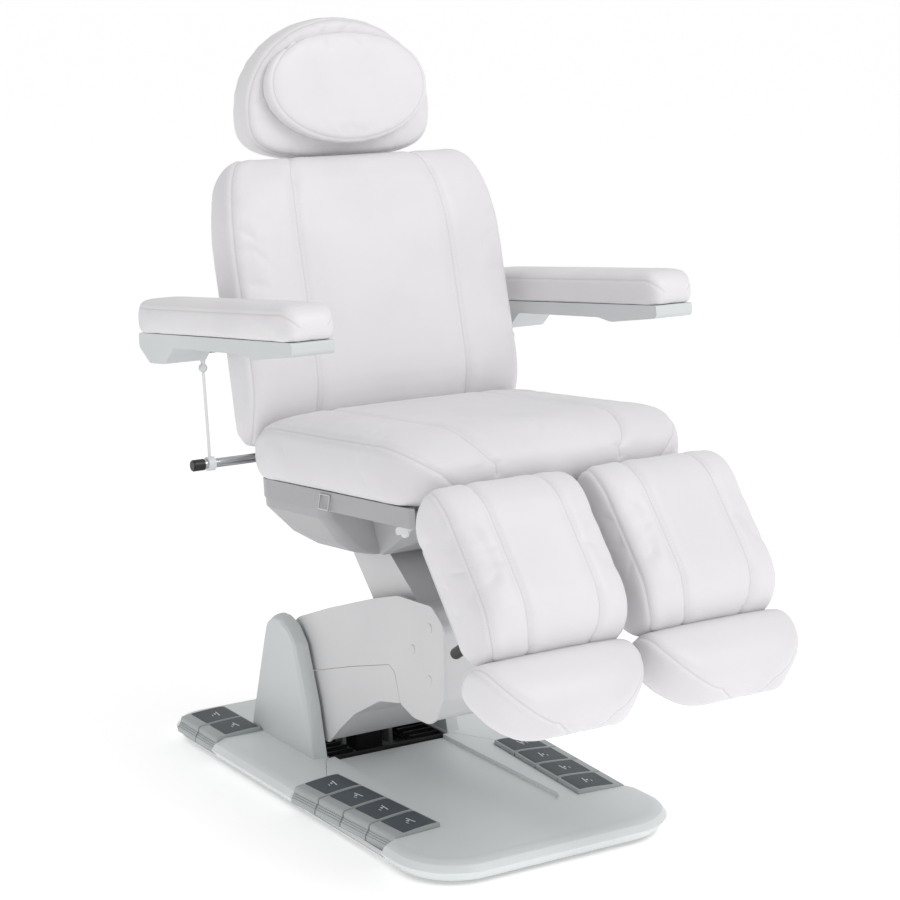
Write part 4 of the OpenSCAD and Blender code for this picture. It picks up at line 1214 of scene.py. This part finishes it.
    def symbol_mesh(self, index: int) -> BMesh:
        """Printed line and arrow, one arrangement for each pedal."""
        lean = self.symbol_leans[index % len(self.symbol_leans)]
        turn = Matrix.Rotation(math.radians(90 + lean), 4, "Z")
        bm = bmesh.new()
        for mark in self.symbol_marks:
            part = prism(mark, self.symbol_thick, "XY")
            bmesh.ops.transform(part, matrix=turn, verts=part.verts)
            mesh = bpy.data.meshes.new("mark")
            part.to_mesh(mesh)
            part.free()
            bm.from_mesh(mesh)
            bpy.data.meshes.remove(mesh)
        for v in bm.verts:
            v.co.x += self.width * self.symbol_share * MM
            v.co.z += (self.top_z(v.co.x / MM) + self.symbol_up) * MM
        return bm


# ---- studio


@dataclass(frozen=True)
class Lamp:
    """One soft square light, in metres and watts."""

    name: str
    eye: Point
    aim: Point
    watts: float
    size: float

    def build(self) -> None:
        """Adds the light."""
        data = bpy.data.lights.new(self.name, "AREA")
        data.energy = self.watts
        data.size = self.size
        lamp = link(self.name, data)
        lamp.location = self.eye
        way = Vector(self.aim) - Vector(self.eye)
        lamp.rotation_euler = way.to_track_quat("-Z", "Y").to_euler()


@dataclass(frozen=True)
class Studio:
    """Pale floor, soft light and the camera at the photograph's angle."""

    eye: Point = (-2.353, -3.800, 1.629)
    lens: float = 96.0
    sensor: float = 36.0
    yaw: float = 32.70
    pitch: float = 12.18
    floor_colour: str = "#fbfbfb"
    floor_size: float = 400.0
    floor_roughness: float = 0.9
    floor_gloss: float = 0.15
    floor_glow: float = 0.34
    sky: float = 0.68
    lamps: Sequence[Lamp] = (
        Lamp("key", (1.2, -3.4, 3.9), (0, -0.1, 0.5), 72, 2.2),
        Lamp("fill", (-3.8, -1.2, 1.7), (0, 0, 0.6), 7, 2.4),
        Lamp("top", (-0.2, -0.8, 3.8), (0, -0.1, 0.5), 5, 2.0),
    )

    def build(self) -> None:
        """Makes floor, world, lights and camera."""
        for item in list(bpy.data.objects):
            if item.type in {"LIGHT", "CAMERA"} or item.name == "Cube":
                bpy.data.objects.remove(item)
        scene = bpy.context.scene
        self.lay_floor()
        world = bpy.data.worlds.new("studio")
        world.use_nodes = True
        ground = world.node_tree.nodes["Background"]
        ground.inputs[0].default_value = (1, 1, 1, 1)
        ground.inputs[1].default_value = self.sky
        scene.world = world
        for lamp in self.lamps:
            lamp.build()
        data = bpy.data.cameras.new("camera")
        data.sensor_width = self.sensor
        data.lens = self.lens
        camera = link("camera", data)
        camera.location = self.eye
        camera.rotation_euler = (math.radians(90 - self.pitch), 0, math.radians(-self.yaw))
        scene.camera = camera
        scene.view_settings.view_transform = "Standard"

    def lay_floor(self) -> None:
        """Makes the floor, slightly glowing so that it stays white far away."""
        bm = bmesh.new()
        bmesh.ops.create_grid(bm, x_segments=1, y_segments=1, size=self.floor_size)
        floor = new_piece("studio_floor", bm)
        material, tree, shader = start_material("studio floor")
        looks = {
            "Base Color": linear(self.floor_colour),
            "Roughness": self.floor_roughness,
            "Specular IOR Level": self.floor_gloss,
            "Emission Color": (1, 1, 1, 1),
            "Emission Strength": self.floor_glow,
        }
        set_inputs(tree, shader, looks)
        floor.data.materials.append(material)


# ---- structure


@dataclass(frozen=True)
class Structure:
    """Covers with softened edges, and finishes of the steel parts that stay as CAD made them.

    Each cover has its CAD node, its edge radius in millimetres and its finish.
    """

    covers: Sequence[tuple[str, float, Finish]] = (
        ("front_base_cover", 2.0, LIT_BASE_COVER),
        ("rear_base_cover", 2.0, LIT_BASE_COVER),
        ("tower_covers", 1.0, GREY_COVER),
        ("arm_side_covers", 2.5, WHITE_COVER),
        ("arm_lower_cover", 1.0, WHITE_COVER),
        ("arm_top_cover", 1.0, WHITE_COVER),
        ("arm_front_cover", 1.0, WHITE_COVER),
        ("neck_cover", 1.0, WHITE_COVER),
        ("seat_shell", 3.0, SHADED_SEAT_COVER),
        ("back_shell", 3.0, WHITE_COVER),
        ("headrest_shell", 3.0, WHITE_COVER),
    )
    side_covers: Sequence[tuple[str, float, Finish]] = (
        ("armrest_plate", 2.5, GREY_COVER),
        ("leg_shell", 2.0, WHITE_COVER),
        ("foot_shell", 2.0, WHITE_COVER),
    )
    flat_angle: float = 0.6
    round_angle: float = 28.0
    sharp_angle: float = 40.0
    face_weight: int = 80

    def build(self, palette: Palette) -> None:
        """Dresses every rigid node.

        Args:
            palette: Materials.
        """
        for node, edge, finish in self.covers:
            self.moulding(node, edge, palette, finish)
        for side in Side:
            for node, edge, finish in self.side_covers:
                self.moulding(f"{side.word}_{node}", edge, palette, finish)
        finishes = {
            "painted steel": GREY_STEEL, "white steel": WHITE_STEEL, "black steel": BLACK_STEEL,
            "bright steel": BRIGHT_STEEL, "black plastic": BLACK_PLASTIC,
        }
        for name, node in frame["nodes"].items():
            finish = finishes.get(slot_of(name))
            if finish is not None:
                palette.dress(node, finish)

    def moulding(self, node: str, width: float, palette: Palette, finish: Finish) -> Object:
        """Makes a cover from its CAD solid with softened edges.

        Args:
            node: CAD node to stand for.
            width: Edge radius in millimetres.
            palette: Materials.
            finish: Finish of the cover.

        Returns:
            The piece that replaces the node.
        """
        bm = bmesh.new()
        bm.from_mesh(frame["nodes"][node].data)
        bmesh.ops.remove_doubles(bm, verts=bm.verts, dist=MERGE_MM * MM)
        flat = math.radians(self.flat_angle)
        bmesh.ops.dissolve_limit(bm, angle_limit=flat, verts=bm.verts, edges=bm.edges)
        soften(bm, width, self.round_angle)
        piece = new_piece(f"{node}_moulding", bm, self.sharp_angle)
        self.even_shading(piece)
        palette.dress(piece, finish)
        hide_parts(node)
        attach(piece, body_of(node))
        log.info("moulding %s: %d faces", node, len(piece.data.polygons))
        return piece

    def even_shading(self, piece: Object) -> None:
        """Weights the normals by face area, so that flat faces stay flat beside round edges.

        Args:
            piece: Object to change.
        """
        modifier = piece.modifiers.new("even shading", "WEIGHTED_NORMAL")
        modifier.keep_sharp = True
        modifier.weight = self.face_weight
        apply_modifiers(piece)


def main() -> None:
    """Builds the chair and its studio."""
    logging.basicConfig(level=logging.INFO, format="%(message)s")
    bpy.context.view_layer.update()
    Studio().build()
    palette = Palette()
    Structure().build(palette)
    for side in Side:
        PedalSet(side, front=True, count=4, inner_x=166, row_y=-180, splay=4.4).build(palette)
        PedalSet(side, front=False, count=2, inner_x=172, row_y=384, splay=0).build(palette)
    Upholstery().build(palette)


if __name__ == "__main__":
    main()
